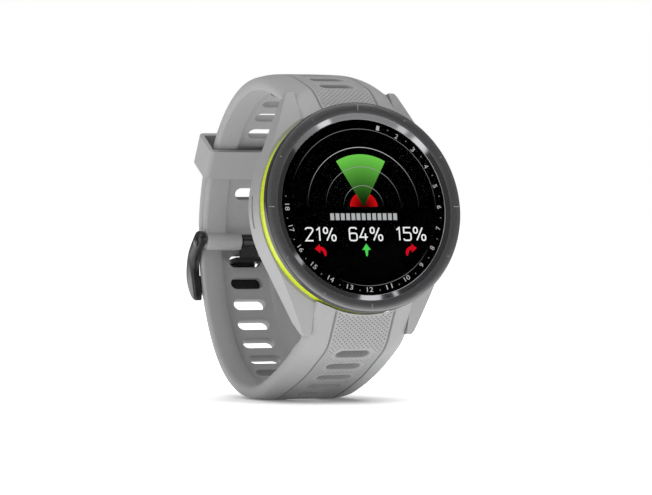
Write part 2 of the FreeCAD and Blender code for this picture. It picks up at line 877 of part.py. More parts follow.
def arc_point(arc, angle, offset):
    step = heading(angle)
    reach = arc[1] + offset
    return point(arc[0][0] + reach * step[0], arc[0][1] + reach * step[1])


def offset_edges(arcs, offset):
    """The arcs moved outwards by an offset, as edges."""
    edges = []
    for arc in arcs:
        middle = (arc[2] + arc[3]) / 2
        stops = [arc_point(arc, angle, offset) for angle in (arc[2], middle, arc[3])]
        edges.append(Part.Arc(*stops).toShape())
    return edges


def prism(wire, half_width):
    """A side view outline given its width, even about the middle."""
    face = Part.Face(wire)
    face.translate(Vector(-half_width, 0, 0))
    return face.extrude(Vector(2 * half_width, 0, 0))


def band(arcs, inner, outer, half_width):
    """The strap between two offsets from its arcs."""
    inside = offset_edges(arcs, inner)
    outside = offset_edges(arcs, outer)
    start = Part.makeLine(arc_point(arcs[0], arcs[0][2], inner),
                          arc_point(arcs[0], arcs[0][2], outer))
    end = Part.makeLine(arc_point(arcs[-1], arcs[-1][3], inner),
                        arc_point(arcs[-1], arcs[-1][3], outer))
    wire = Part.Wire(Part.__sortEdges__(inside + outside + [start, end]))
    return prism(wire, half_width)


def taper():
    """The room between the strap's two edges: wide at the watch, narrower at the back."""
    front = size("strap_front_half")
    back = size("strap_back_half")
    near = size("bar_depth")
    far = 2 * size("tail_radius")
    corners = [Vector(-front, 0, -near), Vector(front, 0, -near),
               Vector(back, 0, -far), Vector(-back, 0, -far), Vector(-front, 0, -near)]
    face = Part.Face(Part.makePolygon(corners))
    face.translate(Vector(0, -60, 0))
    return face.extrude(Vector(0, 120, 0))


def ridge(arcs, heights):
    """The raised middle of a strap half. heights lists (angle, height) from its thin end."""
    inside = offset_edges(clipped(arcs, heights[0][0]), 0)
    crest = Part.BSplineCurve()
    crest.interpolate([arc_point(arc_at(arcs, angle), angle, height)
                       for angle, height in heights])
    foot = arc_point(arcs[-1], arcs[-1][3], 0)
    end = Part.makeLine(foot, crest.EndPoint)
    wire = Part.Wire(Part.__sortEdges__(inside + [crest.toShape(), end]))
    return prism(wire, size("ridge_half"))


def arc_at(arcs, angle):
    """The arc that an angle falls on."""
    return next(arc for arc in arcs if min(arc[2:]) <= angle <= max(arc[2:]))


def lug_block(arc, sign):
    """The strap's thick end between the lugs."""
    angle = arc[3]
    back_angle = angle - sign * 2
    corners = [point(size("strap_end_front"), sign * size("case_radius")),
               arc_point(arc, angle, size("ridge_height")),
               arc_point(arc, back_angle, 0),
               arc_point(arc, back_angle, -size("strap_thick")),
               point(size("case_back_depth") - 0.3, sign * size("notch_foot"))]
    return prism(Part.makePolygon(corners + corners[:1]), size("strap_end_half"))


def across_cylinder(depth_rise, radius, half_width):
    """A cylinder across the strap."""
    base = point(depth_rise[0], depth_rise[1], -half_width)
    return Part.makeCylinder(radius, 2 * half_width, base, Vector(1, 0, 0))


def moved_along(arcs, angle, way):
    """The place (arc, angle) that lies a way along the arcs from an angle."""
    for arc in clipped(arcs, angle):
        room = math.radians(abs(arc[3] - arc[2])) * arc[1]
        if room >= way:
            turn = math.copysign(math.degrees(way / arc[1]), arc[3] - arc[2])
            return arc, arc[2] + turn
        way -= room
    raise ValueError("a slot runs off the strap")


def stations(arcs, first_angle, runs):
    """Slot places (arc, angle) along the arcs, from the first angle towards the lug."""
    places = [moved_along(arcs, first_angle, 0.0)]
    for count, spacing in runs:
        for _ in range(count):
            places.append(moved_along(arcs, places[-1][1], spacing))
    return places


def slot(place):
    """A round-ended hole through the strap."""
    arc, angle = place
    half = size("slot_half")
    end = size("slot_width") / 2
    straight = half - end
    base = -SLOT_REACH
    corners = [Vector(-straight, -end, base), Vector(straight, -end, base),
               Vector(straight, end, base), Vector(-straight, end, base)]
    edges = [Part.makeLine(corners[0], corners[1]),
             Part.Arc(corners[1], Vector(half, 0, base), corners[2]).toShape(),
             Part.makeLine(corners[2], corners[3]),
             Part.Arc(corners[3], Vector(-half, 0, base), corners[0]).toShape()]
    tool = Part.Face(Part.Wire(edges)).extrude(Vector(0, 0, 2 * SLOT_REACH))
    step = heading(angle)
    tool.Placement = Placement(arc_point(arc, angle, 0),
                               Rotation(Vector(0, 0, 1), Vector(0, step[1], -step[0])))
    return tool


def lug_room(sign):
    """The space that the lugs and their clearance take beside the strap's end."""
    inner = size("strap_end_half")
    low, high = sorted((sign * 15, sign * (size("lug_tip") + 0.4)))
    depth = size("case_back_depth") + 0.1
    blocks = []
    for side in (-1, 1):
        left, right = sorted((side * inner, side * 20))
        blocks.append(Part.makeBox(right - left, high - low, depth, Vector(left, low, -depth)))
    return blocks


def case_room():
    """The round of the case, which the strap's end follows."""
    return Part.makeCylinder(size("strap_end_radius"), 13, Vector(0, 0, -13))


def lever_room(sign):
    """The pocket under the strap's end where the release lever slides."""
    rise = sign * size("bar_rise")
    low = size("knob_place") - size("lever_travel") - 0.4
    high = size("knob_place") + size("knob_length") + 0.4
    return Part.makeBox(high - low, 1.8, 4, Vector(low, rise - 0.9, -size("bar_depth") - 4))


def strap_half(arcs, sign, which):
    """One half: tapered band, raised middle and lug block, with slots and bar hole."""
    thick = size("strap_thick")
    body = band(arcs, -thick, 0, size("strap_front_half")).common(taper())
    body = body.fuse([ridge(arcs, RIDGE_HEIGHTS[which]), lug_block(arcs[-1], sign)])
    places = stations(arcs, FIRST_SLOT[which], SLOT_RUNS[which])
    bar = across_cylinder((size("bar_depth"), sign * size("bar_rise")),
                          size("bar_radius") + size("fit_gap"), 15)
    tools = [slot(place) for place in places] + lug_room(sign)
    return body.cut(tools + [bar, lever_room(sign), case_room()])


def pin_place():
    step = heading(size("pin_angle"))
    reach = size("pin_reach")
    return size("loop_depth") + reach * step[0], size("loop_rise") + reach * step[1]


def make_strap_short():
    """The 12 o'clock half, which ends in the knuckle round the buckle's pin."""
    body = strap_half(short_arcs(), 1, "short")
    knuckle = across_cylinder(pin_place(), size("knuckle_radius"), size("strap_back_half"))
    body = body.fuse(knuckle)
    pin_hole = across_cylinder(pin_place(), size("pin_radius"), 15)
    notch_half = size("hub_notch")
    depth, rise = pin_place()
    reach = size("hub_radius") + 0.8
    notch = Part.makeBox(2 * notch_half, 2 * reach + 2, 8,
                         Vector(-notch_half, rise - reach - 2, -depth - 4))
    solid_node("strap_short", one_solid(body.cut([pin_hole, notch])))


def make_strap_long():
    """The 6 o'clock half, flattened a little where the watch stands on it."""
    body = strap_half(long_arcs(), -1, "long")
    solid_node("strap_long", one_solid(body.cut(floor_block(body))))


def floor_block(shape):
    """A block that takes a thin flat off the lowest part of a leaned shape."""
    leaned = shape.copy()
    leaned.Placement = stance()
    low = leaned.optimalBoundingBox(False, False).ZMin + size("floor_patch")
    block = Part.makeBox(100, 200, 20, Vector(-50, -100, low - 20))
    block.Placement = stance().inverse()
    return block


def one_solid(shape):
    """The single solid of a boolean result."""
    clean = shape.removeSplitter()
    if len(clean.Solids) != 1:
        raise ValueError("expected one solid, got %d" % len(clean.Solids))
    return clean.Solids[0]


# ---------------------------------------------------------------- buckle and keeper

def make_buckle_pin():
    depth, rise = pin_place()
    pin = across_cylinder((depth, rise), size("pin_radius"), size("pin_end"))
    solid_node("buckle_pin", pin)


def arm_outline():
    """The side view of a buckle arm, from the pin's boss out to the cross bar."""
    depth, rise = pin_place()
    return [point(depth - 1.9, rise + 0.2), point(depth - 0.4, rise + 2.1),
            polar(33.8, 9.0), polar(36.6, 4.2), polar(38.1, -1.8), polar(37.6, -7.6),
            polar(35.7, -10.0), polar(34.9, -6.4), polar(34.2, -0.6), polar(32.0, 4.4)]


def make_buckle_frame():
    """Two arms from the pin to a cross bar that lies behind the strap."""
    curve = Part.BSplineCurve()
    curve.interpolate(arm_outline(), PeriodicFlag=True)
    inner = size("arm_inner")
    outer = size("arm_outer")
    whole = prism(Part.Wire(curve.toShape()), outer)
    gap = Part.makeBox(2 * inner, 60, 60, Vector(-inner, -30, -90))
    arms = whole.cut(gap)
    bar = bar_solid(size("bar_inner_reach"), size("bar_outer_reach"), inner + 0.3)
    rest = bar_solid(size("rest_reach"), size("bar_outer_reach") + 2, size("rest_half"))
    hole = across_cylinder(pin_place(), size("pin_radius") + size("fit_gap"), 15)
    frame = arms.fuse(bar.cut(rest)).cut(hole)
    solid_node("buckle_frame", one_solid(frame))


def bar_solid(inner_reach, outer_reach, half_width):
    """A piece of the cross bar between two distances from the loop's centre."""
    arc = (loop_centre(), 0.0, -9.0, -3.0)
    return band([arc], inner_reach, outer_reach, half_width)


def ribbon(stops, half_width, thick):
    """A flat bent strip of even thickness through side view points."""
    ways = [(finish - begin).normalize() for begin, finish in zip(stops, stops[1:])]
    left = []
    right = []
    for spot, before, after in zip(stops, ways[:1] + ways, ways + ways[-1:]):
        across = Vector(1, 0, 0).cross((before + after).normalize())
        across *= thick / 2 / across.dot(Vector(1, 0, 0).cross(after))
        left.append(spot + across)
        right.append(spot - across)
    corners = left + right[::-1]
    return prism(Part.makePolygon(corners + corners[:1]), half_width)


def make_buckle_tongue():
    """The tongue: a hub on the pin, and a blade through the slot that rests on the bar."""
    thick = size("blade_thick")
    hub = across_cylinder(pin_place(), size("hub_radius"), size("hub_half"))
    neck = ribbon([polar(31.9, 6.4), polar(32.05, 1.4)], size("hub_half"), thick)
    blade = ribbon([polar(31.5, 1.4), polar(36.5, 1.4), polar(37.6, -3.4),
                    polar(37.6, -8.4)], size("blade_half"), thick)
    hole = across_cylinder(pin_place(), size("pin_radius") + size("fit_gap"), 15)
    tongue = hub.fuse([neck, blade]).cut(hole)
    solid_node("buckle_tongue", one_solid(tongue))


def make_keeper():
    """The loop that holds the strap's tail."""
    wall = size("keeper_wall")
    low = size("keeper_inner_reach")
    high = size("keeper_outer_reach")
    half = size("keeper_half")
    length = size("keeper_length")
    outer = Part.makeBox(2 * (half + wall), length, high - low + 2 * wall,
                         Vector(-half - wall, -length / 2, low - wall))
    long_edges = [edge for edge in outer.Edges
                  if abs(edge.tangentAt(edge.FirstParameter).y) > 0.9]
    outer = outer.makeFillet(1.4, long_edges)
    inner = Part.makeBox(2 * half, 2 * length, high - low, Vector(-half, -length, low))
    keeper = outer.cut(inner)
    turn = Rotation(Vector(1, 0, 0), 180 + size("keeper_angle"))
    keeper.Placement = Placement(polar(0, 0), turn)
    solid_node("strap_keeper", one_solid(keeper))


# ---------------------------------------------------------------- stance and output

def stance():
    """The turn that stands the watch up and leans it back."""
    return Placement(Vector(0, 0, 0), Rotation(Vector(1, 0, 0), 90 - size("lean")))


def place_on_floor():
    """Stand every sub-part on the floor, with the origin under the middle of the box."""
    for thing in NODES:
        thing.Placement = stance().multiply(thing.Placement)
    doc.recompute()
    limits = FreeCAD.BoundBox()
    for thing in NODES:
        limits.add(thing.Shape.optimalBoundingBox(False, False))
    shift = Vector(-limits.Center.x, -limits.Center.y, -limits.ZMin)
    for thing in NODES:
        thing.Placement = Placement(shift, Rotation()).multiply(thing.Placement)
    doc.recompute()
    print("face centre at", shift, "box", limits.XLength, limits.YLength, limits.ZLength)


def check_and_write():
    """Refuse any failed object or bad shape, then write one STEP file per sub-part."""
    for thing in doc.Objects:
        if "Invalid" in thing.State or "Error" in thing.State:
            raise ValueError(thing.Label + " failed: " + str(thing.State))
    os.makedirs("parts", exist_ok=True)
    for thing in NODES:
        if thing.Shape.isNull() or not thing.Shape.isValid():
            raise ValueError(thing.Label + " has a bad shape")
    for thing in NODES:
        thing.Shape.exportStep(os.path.join("parts", thing.Label + ".step"))


def main():
    fill_sheet()
    make_bezel()
    make_accent_ring()
    make_lens()
    make_turned_plates()
    make_inner_frame()
    make_electronics()
    make_case_body(make_case_blank())
    make_vent()
    make_case_back()
    make_case_screws()
    make_charge_port()
    make_buttons()
    make_button_seals()
    make_side_switches()
    make_spring_bar("top", "")
    make_spring_bar("bottom", "-")
    make_strap_short()
    make_strap_long()
    make_buckle_pin()
    make_buckle_frame()
    make_buckle_tongue()
    make_keeper()
    doc.recompute()
    place_on_floor()
    check_and_write()


main()
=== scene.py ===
import json
import math

import bmesh
import bpy
from mathutils import Matrix, Vector, geometry


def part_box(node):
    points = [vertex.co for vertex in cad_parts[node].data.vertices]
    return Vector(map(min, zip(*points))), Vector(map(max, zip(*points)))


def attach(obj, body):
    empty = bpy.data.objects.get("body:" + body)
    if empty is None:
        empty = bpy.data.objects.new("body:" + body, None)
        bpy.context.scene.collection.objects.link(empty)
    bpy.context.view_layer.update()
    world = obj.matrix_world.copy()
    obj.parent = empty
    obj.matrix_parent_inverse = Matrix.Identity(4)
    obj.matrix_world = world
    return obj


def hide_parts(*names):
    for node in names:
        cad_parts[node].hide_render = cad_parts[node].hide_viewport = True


# Golf GPS watch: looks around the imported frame. Lengths below are in millimetres in the
# watch's own axes (X to 3 o'clock, Y to 12 o'clock, Z out of the display, origin at the
# centre of the bezel's front face), and WATCH turns them into the row frame in metres. The
# strap is drawn in its side view: "depth" is -Z and "rise" is Y.

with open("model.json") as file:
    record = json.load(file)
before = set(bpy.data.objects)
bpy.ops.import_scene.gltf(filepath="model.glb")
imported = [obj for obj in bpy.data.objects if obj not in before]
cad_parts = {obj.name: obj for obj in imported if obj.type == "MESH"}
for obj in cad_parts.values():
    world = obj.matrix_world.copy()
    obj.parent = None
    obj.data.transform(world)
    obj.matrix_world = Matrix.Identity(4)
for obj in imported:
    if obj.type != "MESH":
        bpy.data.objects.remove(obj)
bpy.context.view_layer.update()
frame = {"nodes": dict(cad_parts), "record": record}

MM = 0.001
LEAN = math.radians(10.1)

LOOP = (28.5, -1.5)
TAIL_RADIUS = 35.4
CASE_RADIUS = 20.9
PIN_REACH, PIN_ANGLE = 31.2, 8.6
STRAP_THICK = 2.3


# ---------------------------------------------------------------- watch frame

def watch_axes():
    """The matrix from the watch's axes, in millimetres, to the row frame, in metres."""
    turn = Matrix.Rotation(math.radians(90) - LEAN, 4, "X")
    low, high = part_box("accent_ring")
    middle = (low + high) / 2
    ring_depth = (2.45 + 4.3) / 2
    origin = middle - turn @ Vector((0, 0, -ring_depth * MM))
    return Matrix.Translation(origin) @ turn @ Matrix.Scale(MM, 4)


WATCH = watch_axes()
FACE = WATCH.translation


def heading(angle):
    """The unit step (depth, rise) at an angle of the side view, in degrees."""
    return Vector((math.cos(math.radians(angle)), math.sin(math.radians(angle))))


def polar(reach, angle):
    """A side view point at a distance and angle from the loop's centre."""
    return Vector(LOOP) + reach * heading(angle)


def place(across, side_point):
    """A side view point, as a place in the watch's axes."""
    return Vector((across, side_point[1], -side_point[0]))


def smooth(value, start, finish):
    """0 before start, 1 after finish, and an S curve between them."""
    share = min(max((value - start) / (finish - start), 0.0), 1.0)
    return share * share * (3 - 2 * share)


# ---------------------------------------------------------------- materials

def new_material(name, colour, roughness, **more):
    """A Principled material with its constant values on the shader's own sockets."""
    material = bpy.data.materials.new(name)
    material.use_nodes = True
    shader = material.node_tree.nodes["Principled BSDF"]
    shader.inputs["Base Color"].default_value = (*colour, 1)
    shader.inputs["Roughness"].default_value = roughness
    for socket, value in more.items():
        shader.inputs[socket.replace("_", " ")].default_value = value
    return material


def add_node(material, kind, **settings):
    node = material.node_tree.nodes.new(kind)
    for name, value in settings.items():
        if hasattr(node, name):
            setattr(node, name, value)
        else:
            node.inputs[name.replace("_", " ")].default_value = value
    return node


def link(material, source, target):
    material.node_tree.links.new(source, target)


def shader_of(material):
    return material.node_tree.nodes["Principled BSDF"]


def noise(material, scale, detail=3.0):
    """A noise texture in object space, with its scale per metre."""
    spot = add_node(material, "ShaderNodeTexCoord")
    texture = add_node(material, "ShaderNodeTexNoise", Scale=scale, Detail=detail)
    link(material, spot.outputs["Object"], texture.inputs["Vector"])
    return texture


def shade_between(material, source, dark, light, socket="Base Color"):
    """Blend two colours by a texture's value into a socket of the shader."""
    ramp = add_node(material, "ShaderNodeValToRGB")
    ramp.color_ramp.elements[0].position = 0.3
    ramp.color_ramp.elements[1].position = 0.7
    ramp.color_ramp.elements[0].color = (*dark, 1)
    ramp.color_ramp.elements[1].color = (*light, 1)
    link(material, source, ramp.inputs["Fac"])
    link(material, ramp.outputs["Color"], shader_of(material).inputs[socket])
    return ramp


def rough_between(material, source, low, high):
    spread = add_node(material, "ShaderNodeMapRange", To_Min=low, To_Max=high)
    link(material, source, spread.inputs["Value"])
    link(material, spread.outputs["Result"], shader_of(material).inputs["Roughness"])


def bumped(material, source, distance, strength=1.0):
    bump = add_node(material, "ShaderNodeBump", Strength=strength, Distance=distance)
    link(material, source, bump.inputs["Height"])
    link(material, bump.outputs["Normal"], shader_of(material).inputs["Normal"])


def speckled(name, colour, spread, roughness, scale=3000.0, bump=0.00002, **more):
    """A moulded or blasted surface: fine noise in its colour, roughness and height."""
    material = new_material(name, colour, roughness, **more)
    texture = noise(material, scale)
    dark = [channel * (1 - spread) for channel in colour]
    light = [channel * (1 + spread) for channel in colour]
    shade_between(material, texture.outputs["Fac"], dark, light)
    rough_between(material, texture.outputs["Fac"], roughness - 0.06, roughness + 0.06)
    bumped(material, texture.outputs["Fac"], bump, 0.5)
    return material


def strap_material():
    """Soft silicone: fine grain, and painted shade that darkens the bottoms of its dimples and
    its groove.
    """
    material = speckled("strap_silicone", (0.3, 0.3, 0.305), 0.04, 0.55, 2500.0, 0.00002,
                        Sheen_Weight=0.15)
    # A point attribute blends the grain towards a near-black: painted shade in the dimples and
    # along the groove.
    painted_pit_shade = add_node(material, "ShaderNodeAttribute", attribute_name="painted_pit_shade")
    ramp = next(n for n in material.node_tree.nodes if n.type == "VALTORGB")
    mix = add_node(material, "ShaderNodeMix", data_type="RGBA")
    mix.inputs[7].default_value = (0.07, 0.07, 0.072, 1)
    link(material, painted_pit_shade.outputs["Fac"], mix.inputs[0])
    link(material, ramp.outputs["Color"], mix.inputs[6])
    link(material, mix.outputs[2], shader_of(material).inputs["Base Color"])
    return material


# ---------------------------------------------------------------- mesh helpers

def new_piece(name, points, faces, material, body, replaced=(), angle=40.0):
    """A smooth shaded mesh piece from places in the watch's axes."""
    mesh = bpy.data.meshes.new(name)
    mesh.from_pydata([WATCH @ Vector(point) for point in points], [], faces)
    mesh.validate()
    piece = bpy.data.objects.new(name, mesh)
    bpy.context.scene.collection.objects.link(piece)
    tidy = bmesh.new()
    tidy.from_mesh(mesh)
    bmesh.ops.recalc_face_normals(tidy, faces=tidy.faces)
    sharp = math.radians(angle)
    for edge in tidy.edges:
        edge.smooth = len(edge.link_faces) == 2 and edge.calc_face_angle() < sharp
    for face in tidy.faces:
        face.smooth = True
    tidy.to_mesh(mesh)
    tidy.free()
    mesh.materials.append(material)
    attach(piece, body)
    if replaced:
        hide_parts(*replaced)
    return piece


# ---------------------------------------------------------------- strap path

class Path:
    """Tangent arcs in the side view, then a straight run to the case.

    runs lists (radius, normal angle where the arc begins, where it ends).
    """

    def __init__(self, runs, straight):
        self.arcs = []
        self.length = 0.0
        centre = Vector(LOOP)
        for radius, begin, finish in runs:
            if self.arcs:
                centre = centre + (self.arcs[-1][1] - radius) * heading(begin)
            way = abs(math.radians(finish - begin)) * radius
            self.arcs.append((centre, radius, begin, finish, self.length, way))
            self.length += way
        self.arc_length = self.length
        self.length += straight
        self.side = math.copysign(1, runs[0][2] - runs[0][1])

    def at(self, way):
        """The point on the edge line and the outward normal, both (depth, rise)."""
        if way > self.arc_length:
            centre, radius, _, finish, _, _ = self.arcs[-1]
            normal = heading(finish)
            along = Vector((-normal[1], normal[0])) * self.side
            return centre + radius * normal + along * (way - self.arc_length), normal
        for centre, radius, begin, finish, start, span in self.arcs:
            if way <= start + span:
                break
        angle = begin + (finish - begin) * (way - start) / span
        normal = heading(angle)
        return centre + radius * normal, normal

    def way_of(self, angle):
        """How far along the path a normal angle lies."""
        for _, radius, begin, finish, start, _ in self.arcs:
            if min(begin, finish) <= angle <= max(begin, finish):
                return start + abs(math.radians(angle - begin)) * radius
        raise ValueError("no such angle on this path")


SHORT = Path([(33.0, 5.2, 75.0), (28.2, 75.0, 112.0), (69.0, 112.0, 121.5),
              (8.0, 121.5, 140.0)], 6.0)
LONG = Path([(TAIL_RADIUS, 41.0, -10.3), (38.5, -10.3, -28.1), (25.8, -28.1, -98.0),
             (79.0, -98.0, -114.5), (8.0, -114.5, -140.0)], 9.0)


def between(stops, value):
    """A smooth curve through (place, height) stops."""
    if value <= stops[0][0]:
        return stops[0][1]
    for (begin, low), (finish, high) in zip(stops, stops[1:]):
        if value <= finish:
            return low + (high - low) * smooth(value, begin, finish)
    return stops[-1][1]


def slot_ways(first, runs):
    """Where the slots lie along a path, from (how many, spacing) runs."""
    ways = [first]
    for count, spacing in runs:
        for _ in range(count):
            ways.append(ways[-1] + spacing)
    return ways


SLOT_HALF = 3.6
SLOT_WIDTH = 2.5
PANEL_HALF = 6.3
RIM = 0.3
BACK_RIM = 0.25
BACK_ROUND = 0.6
HOLLOW_DEPTH = 0.95
GROOVE_DEPTH = 0.24
CASE_GAP = 0.12
HALF_IN_LUGS = 10.42
PIT_DEPTH = 0.16
PIT_STEPS = (1.0, 0.86)
# Rings of points round each dimple: radius, point count, depth and painted shade.
PIT_RINGS = [(0.1, 6, 0.1, 0.8), (0.2, 8, 0.0, 0.0)]


class StrapHalf:
    """The surfaces of one half of the strap, over (way along, way across)."""

    def __init__(self, path, crest, slots, begin, notch):
        self.path = path
        self.crest = crest
        self.slots = slots
        self.begin = begin
        self.notch = notch

    def half(self, way):
        """Half the width: even taper, and narrower between the lugs."""
        spot = self.path.at(way)[0]
        wide = 11.0 - (spot[0] - 7.0) / 63.8 * 0.9
        return wide - (wide - HALF_IN_LUGS) * self.in_lugs(way)

    def in_lugs(self, way):
        """1 where the strap lies between the lugs, and 0 outside them."""
        if way < self.path.arc_length - 8:
            return 0.0
        return smooth(-abs(self.path.at(way)[0][1]), -24.4, -24.1)

    def end_way(self, across):
        """Where the strap's outer face meets the round of the case."""
        target = math.sqrt((CASE_RADIUS + CASE_GAP) ** 2 - across ** 2)
        low, high = self.path.arc_length - 2, self.path.length
        for _ in range(30):
            middle = (low + high) / 2
            if abs(self.outer(middle, across, 9.0)[1]) > target:
                low = middle
            else:
                high = middle
        return low

    def rise(self, way, across, edge_way):
        """The outer face's height over the edge line."""
        crest = between(self.crest, way)
        half = self.half(way)
        far = max(abs(across) - PANEL_HALF, 0.0) / (half - PANEL_HALF)
        far *= 1 - 0.15 * self.in_lugs(way)
        height = crest * (1 - far ** 1.7) + 0.12 * (1 - min(abs(across) / PANEL_HALF, 1) ** 2)
        groove = abs(abs(across) - PANEL_HALF)
        height -= GROOVE_DEPTH * (1 - smooth(groove, 0.08, 0.3)) * smooth(crest, 0.0, 0.4)
        corner = 0.75 - 0.6 * self.in_lugs(way)
        into = max(corner - (half - abs(across)), 0.0) / corner
        height -= corner * (1 - math.sqrt(max(1 - into ** 2, 0.0)))
        return height - self.rim_drop(edge_way, RIM)

    @staticmethod
    def rim_drop(edge_way, radius):
        """How far a rounded rim falls away, near the edge of the strap or of a slot."""
        into = min(max(radius - edge_way, 0.0) / radius, 1.0)
        return radius * (1 - math.sqrt(1 - into ** 2))

    def outer(self, way, across, edge_way):
        """The outer face, as a side view point."""
        spot, normal = self.path.at(way)
        return spot + normal * self.rise(way, across, edge_way)

    def inner(self, way, across, edge_way):
        """The inner face: hollow in the middle, thick and square between the lugs."""
        spot, normal = self.path.at(way)
        near = smooth(way, self.path.arc_length - 6.0, self.path.arc_length - 1.0)
        hollow = (1 - smooth(abs(across), 5.0, 5.8)) * (1 - near)
        hollow *= smooth(way, self.begin + 3.0, self.begin + 5.0)
        depth = STRAP_THICK - HOLLOW_DEPTH * hollow
        half = self.half(way)
        into = max(BACK_ROUND - (half - abs(across)), 0.0) / BACK_ROUND
        depth -= BACK_ROUND * (1 - math.sqrt(max(1 - into ** 2, 0.0)))
        depth -= self.rim_drop(edge_way, BACK_RIM)
        back = spot - normal * depth
        end = self.outer(way, across, 9.0)
        square = Vector((max(9.3, end[0] + 1.0), end[1]))
        return back.lerp(square, near)


def stadium(way, half, end, count=10):
    """A closed ring of (way, across) places round a slot."""
    ring = []
    for side in (1, -1):
        for step in range(count + 1):
            turn = math.pi * step / count
            ring.append((way + side * end * math.cos(turn),
                         side * (half - end + end * math.sin(turn))))
        ring += [(way - side * end, side * (half - end) * (1 - 2 * k / 9))
                 for k in range(1, 9)]
    return ring


def slot_distance(slots, way, across):
    """How far a place lies outside the nearest slot's edge."""
    nearest = min((abs(way - slot) for slot in slots), default=99.0)
    along = max(abs(across) - (SLOT_HALF - SLOT_WIDTH / 2), 0.0)
    return math.hypot(nearest, along) - SLOT_WIDTH / 2


def outline(half):
    """The strap's plan as a closed ring of (way, across) places."""
    spacing = 0.4
    length = half.path.arc_length
    sides = []
    way = half.begin + 0.8
    stop = half.end_way(half.half(length)) - 0.05
    while way < stop:
        sides.append(way)
        way += spacing
    right = [(way, half.half(way)) for way in sides]
    end = []
    count = 56
    edge = half.half(half.path.arc_length)
    for step in range(count + 1):
        across = edge * math.cos(math.pi * step / count)
        end.append((half.end_way(across), across))
    left = [(way, -across) for way, across in reversed(right)]
    first = half.half(half.begin)
    start = [(half.begin, -first + 0.8)]
    if half.notch:
        width, depth = half.notch
        start += [(half.begin, -width), (half.begin + depth, -width),
                  (half.begin + depth, width), (half.begin, width)]
    else:
        start += [(half.begin, 0.5 * k * first / 5) for k in range(-9, 10)]
    start.append((half.begin, first - 0.8))
    return right + end + left + start


def pit_centres(half, start, finish):
    """The dimples' places: two grids, one centred on the other's cells."""
    across_step, way_step = PIT_STEPS
    centres = []
    for row in range(int((finish - start) / (way_step / 2))):
        way = start + row * way_step / 2
        for column in range(-6, 7):
            across = (column + 0.5 * (row % 2)) * across_step
            inside = abs(across) < PANEL_HALF - 0.5 and way < half.end_way(across) - 0.5
            if inside and slot_distance(half.slots, way, across) > 0.7:
                centres.append((way, across))
    return centres


def slot_rings(half, insets):
    """Places round each slot at several distances outside its edge."""
    places = []
    for slot in half.slots:
        for inset in insets:
            places.extend(stadium(slot, SLOT_HALF + inset, SLOT_WIDTH / 2 + inset))
    return places


def row_places(half, step, rows):
    """Places along lines that follow the strap. rows(half width) lists their across places."""
    places = []
    way = half.begin + 0.9
    while way < half.path.length:
        for across in rows(half.half(way)):
            if way < half.end_way(across) - 0.12 and slot_distance(half.slots, way, across) > 0.5:
                places.append((way, across))
        way += step
    return places


def outer_rows(wide):
    """The outer face's lines: groove, shoulder and rounded corner, to both sides."""
    room = wide - PANEL_HALF - 0.75
    lines = [PANEL_HALF + shift for shift in (-0.3, -0.12, 0.0, 0.12, 0.3)]
    lines += [PANEL_HALF + room * share for share in (0.3, 0.55, 0.8)]
    lines += [wide - shift for shift in (0.75, 0.45, 0.2, 0.05)]
    return lines + [-line for line in lines]


def inner_rows(wide):
    lines = [2.5, 5.0, 5.25, 5.55, 5.8, 7.5, wide - 0.6, wide - 0.3, wide - 0.05]
    return lines + [-line for line in lines]


def triangles(rings, inside):
    """Triangles between the first ring, the rings in it and the inside places."""
    flat = []
    edges = []
    for ring in rings:
        base = len(flat)
        flat.extend(Vector(spot) for spot in ring)
        edges.extend((base + k, base + (k + 1) % len(ring)) for k in range(len(ring)))
    flat.extend(Vector(spot) for spot in inside)
    _, _, faces, origins, _, _ = geometry.delaunay_2d_cdt(flat, edges, [], 1, 1e-6)
    ring_of = [number for number, ring in enumerate(rings) for _ in ring]
    ring_of += [0] * len(inside)
    kept = []
    for face in faces:
        corners = tuple(origins[corner][0] for corner in face)
        holes = {ring_of[corner] for corner in corners}
        if len(holes) > 1 or 0 in holes:
            kept.append(corners)
    return kept


def strap_mesh(name, half, pits, material, replaced):
    """A closed mesh of one strap half: outer face, inner face and the walls between."""
    rings = [outline(half)] + [stadium(slot, SLOT_HALF, SLOT_WIDTH / 2) for slot in half.slots]
    rim = [spot for ring in rings for spot in ring]
    pit_points = []
    # Each dimple's points carry painted shade, darkest at its centre.
    for way, across in pits:
        pit_points.append((way, across, PIT_DEPTH, 1.0))
        for radius, count, depth, painted_shade in PIT_RINGS:
            for step in range(count):
                turn = 2 * math.pi * (step + 0.5) / count
                pit_points.append((way + radius * math.cos(turn),
                                   across + radius * math.sin(turn), depth, painted_shade))
    rows = row_places(half, 0.5, outer_rows) + slot_rings(half, (0.05, 0.15, 0.3))
    outside = [(way, across, 0.0, 0.0) for way, across in rim + rows] + pit_points
    inside = rim + row_places(half, 0.7, inner_rows) + slot_rings(half, (0.06, 0.15, 0.26))
    points = []
    painted_shades = []
    for way, across, depth, painted_shade in outside:
        edge_way = max(slot_distance(half.slots, way, across), 0.0)
        spot = half.outer(way, across, edge_way) - half.path.at(way)[1] * depth
        points.append(place(across, spot))
        # Points on the groove lines carry painted shade too.
        groove = abs(abs(across) - PANEL_HALF) < 0.15 and half.rise(way, 0, 9) > 0.3
        painted_shades.append(max(painted_shade, 0.65 if groove else 0.0))
    for way, across in inside:
        edge_way = max(slot_distance(half.slots, way, across), 0.0)
        points.append(place(across, half.inner(way, across, edge_way)))
        painted_shades.append(0.0)
    count = len(rim)
    faces = triangles(rings, [spot[:2] for spot in outside[count:]])
    base = len(outside)
    faces += [tuple(base + corner for corner in reversed(face))
              for face in triangles(rings, inside[count:])]
    start = 0
    for ring in rings:
        for step in range(len(ring)):
            one = start + step
            two = start + (step + 1) % len(ring)
            faces.append((one, two, base + two, base + one))
        start += len(ring)
    piece = new_piece(name, points, faces, material, "watch", replaced, 50)
    # The painted shade goes onto the mesh as a point attribute.
    attribute = piece.data.attributes.new("painted_pit_shade", "FLOAT", "POINT")
    attribute.data.foreach_set("value", painted_shades)
    return piece


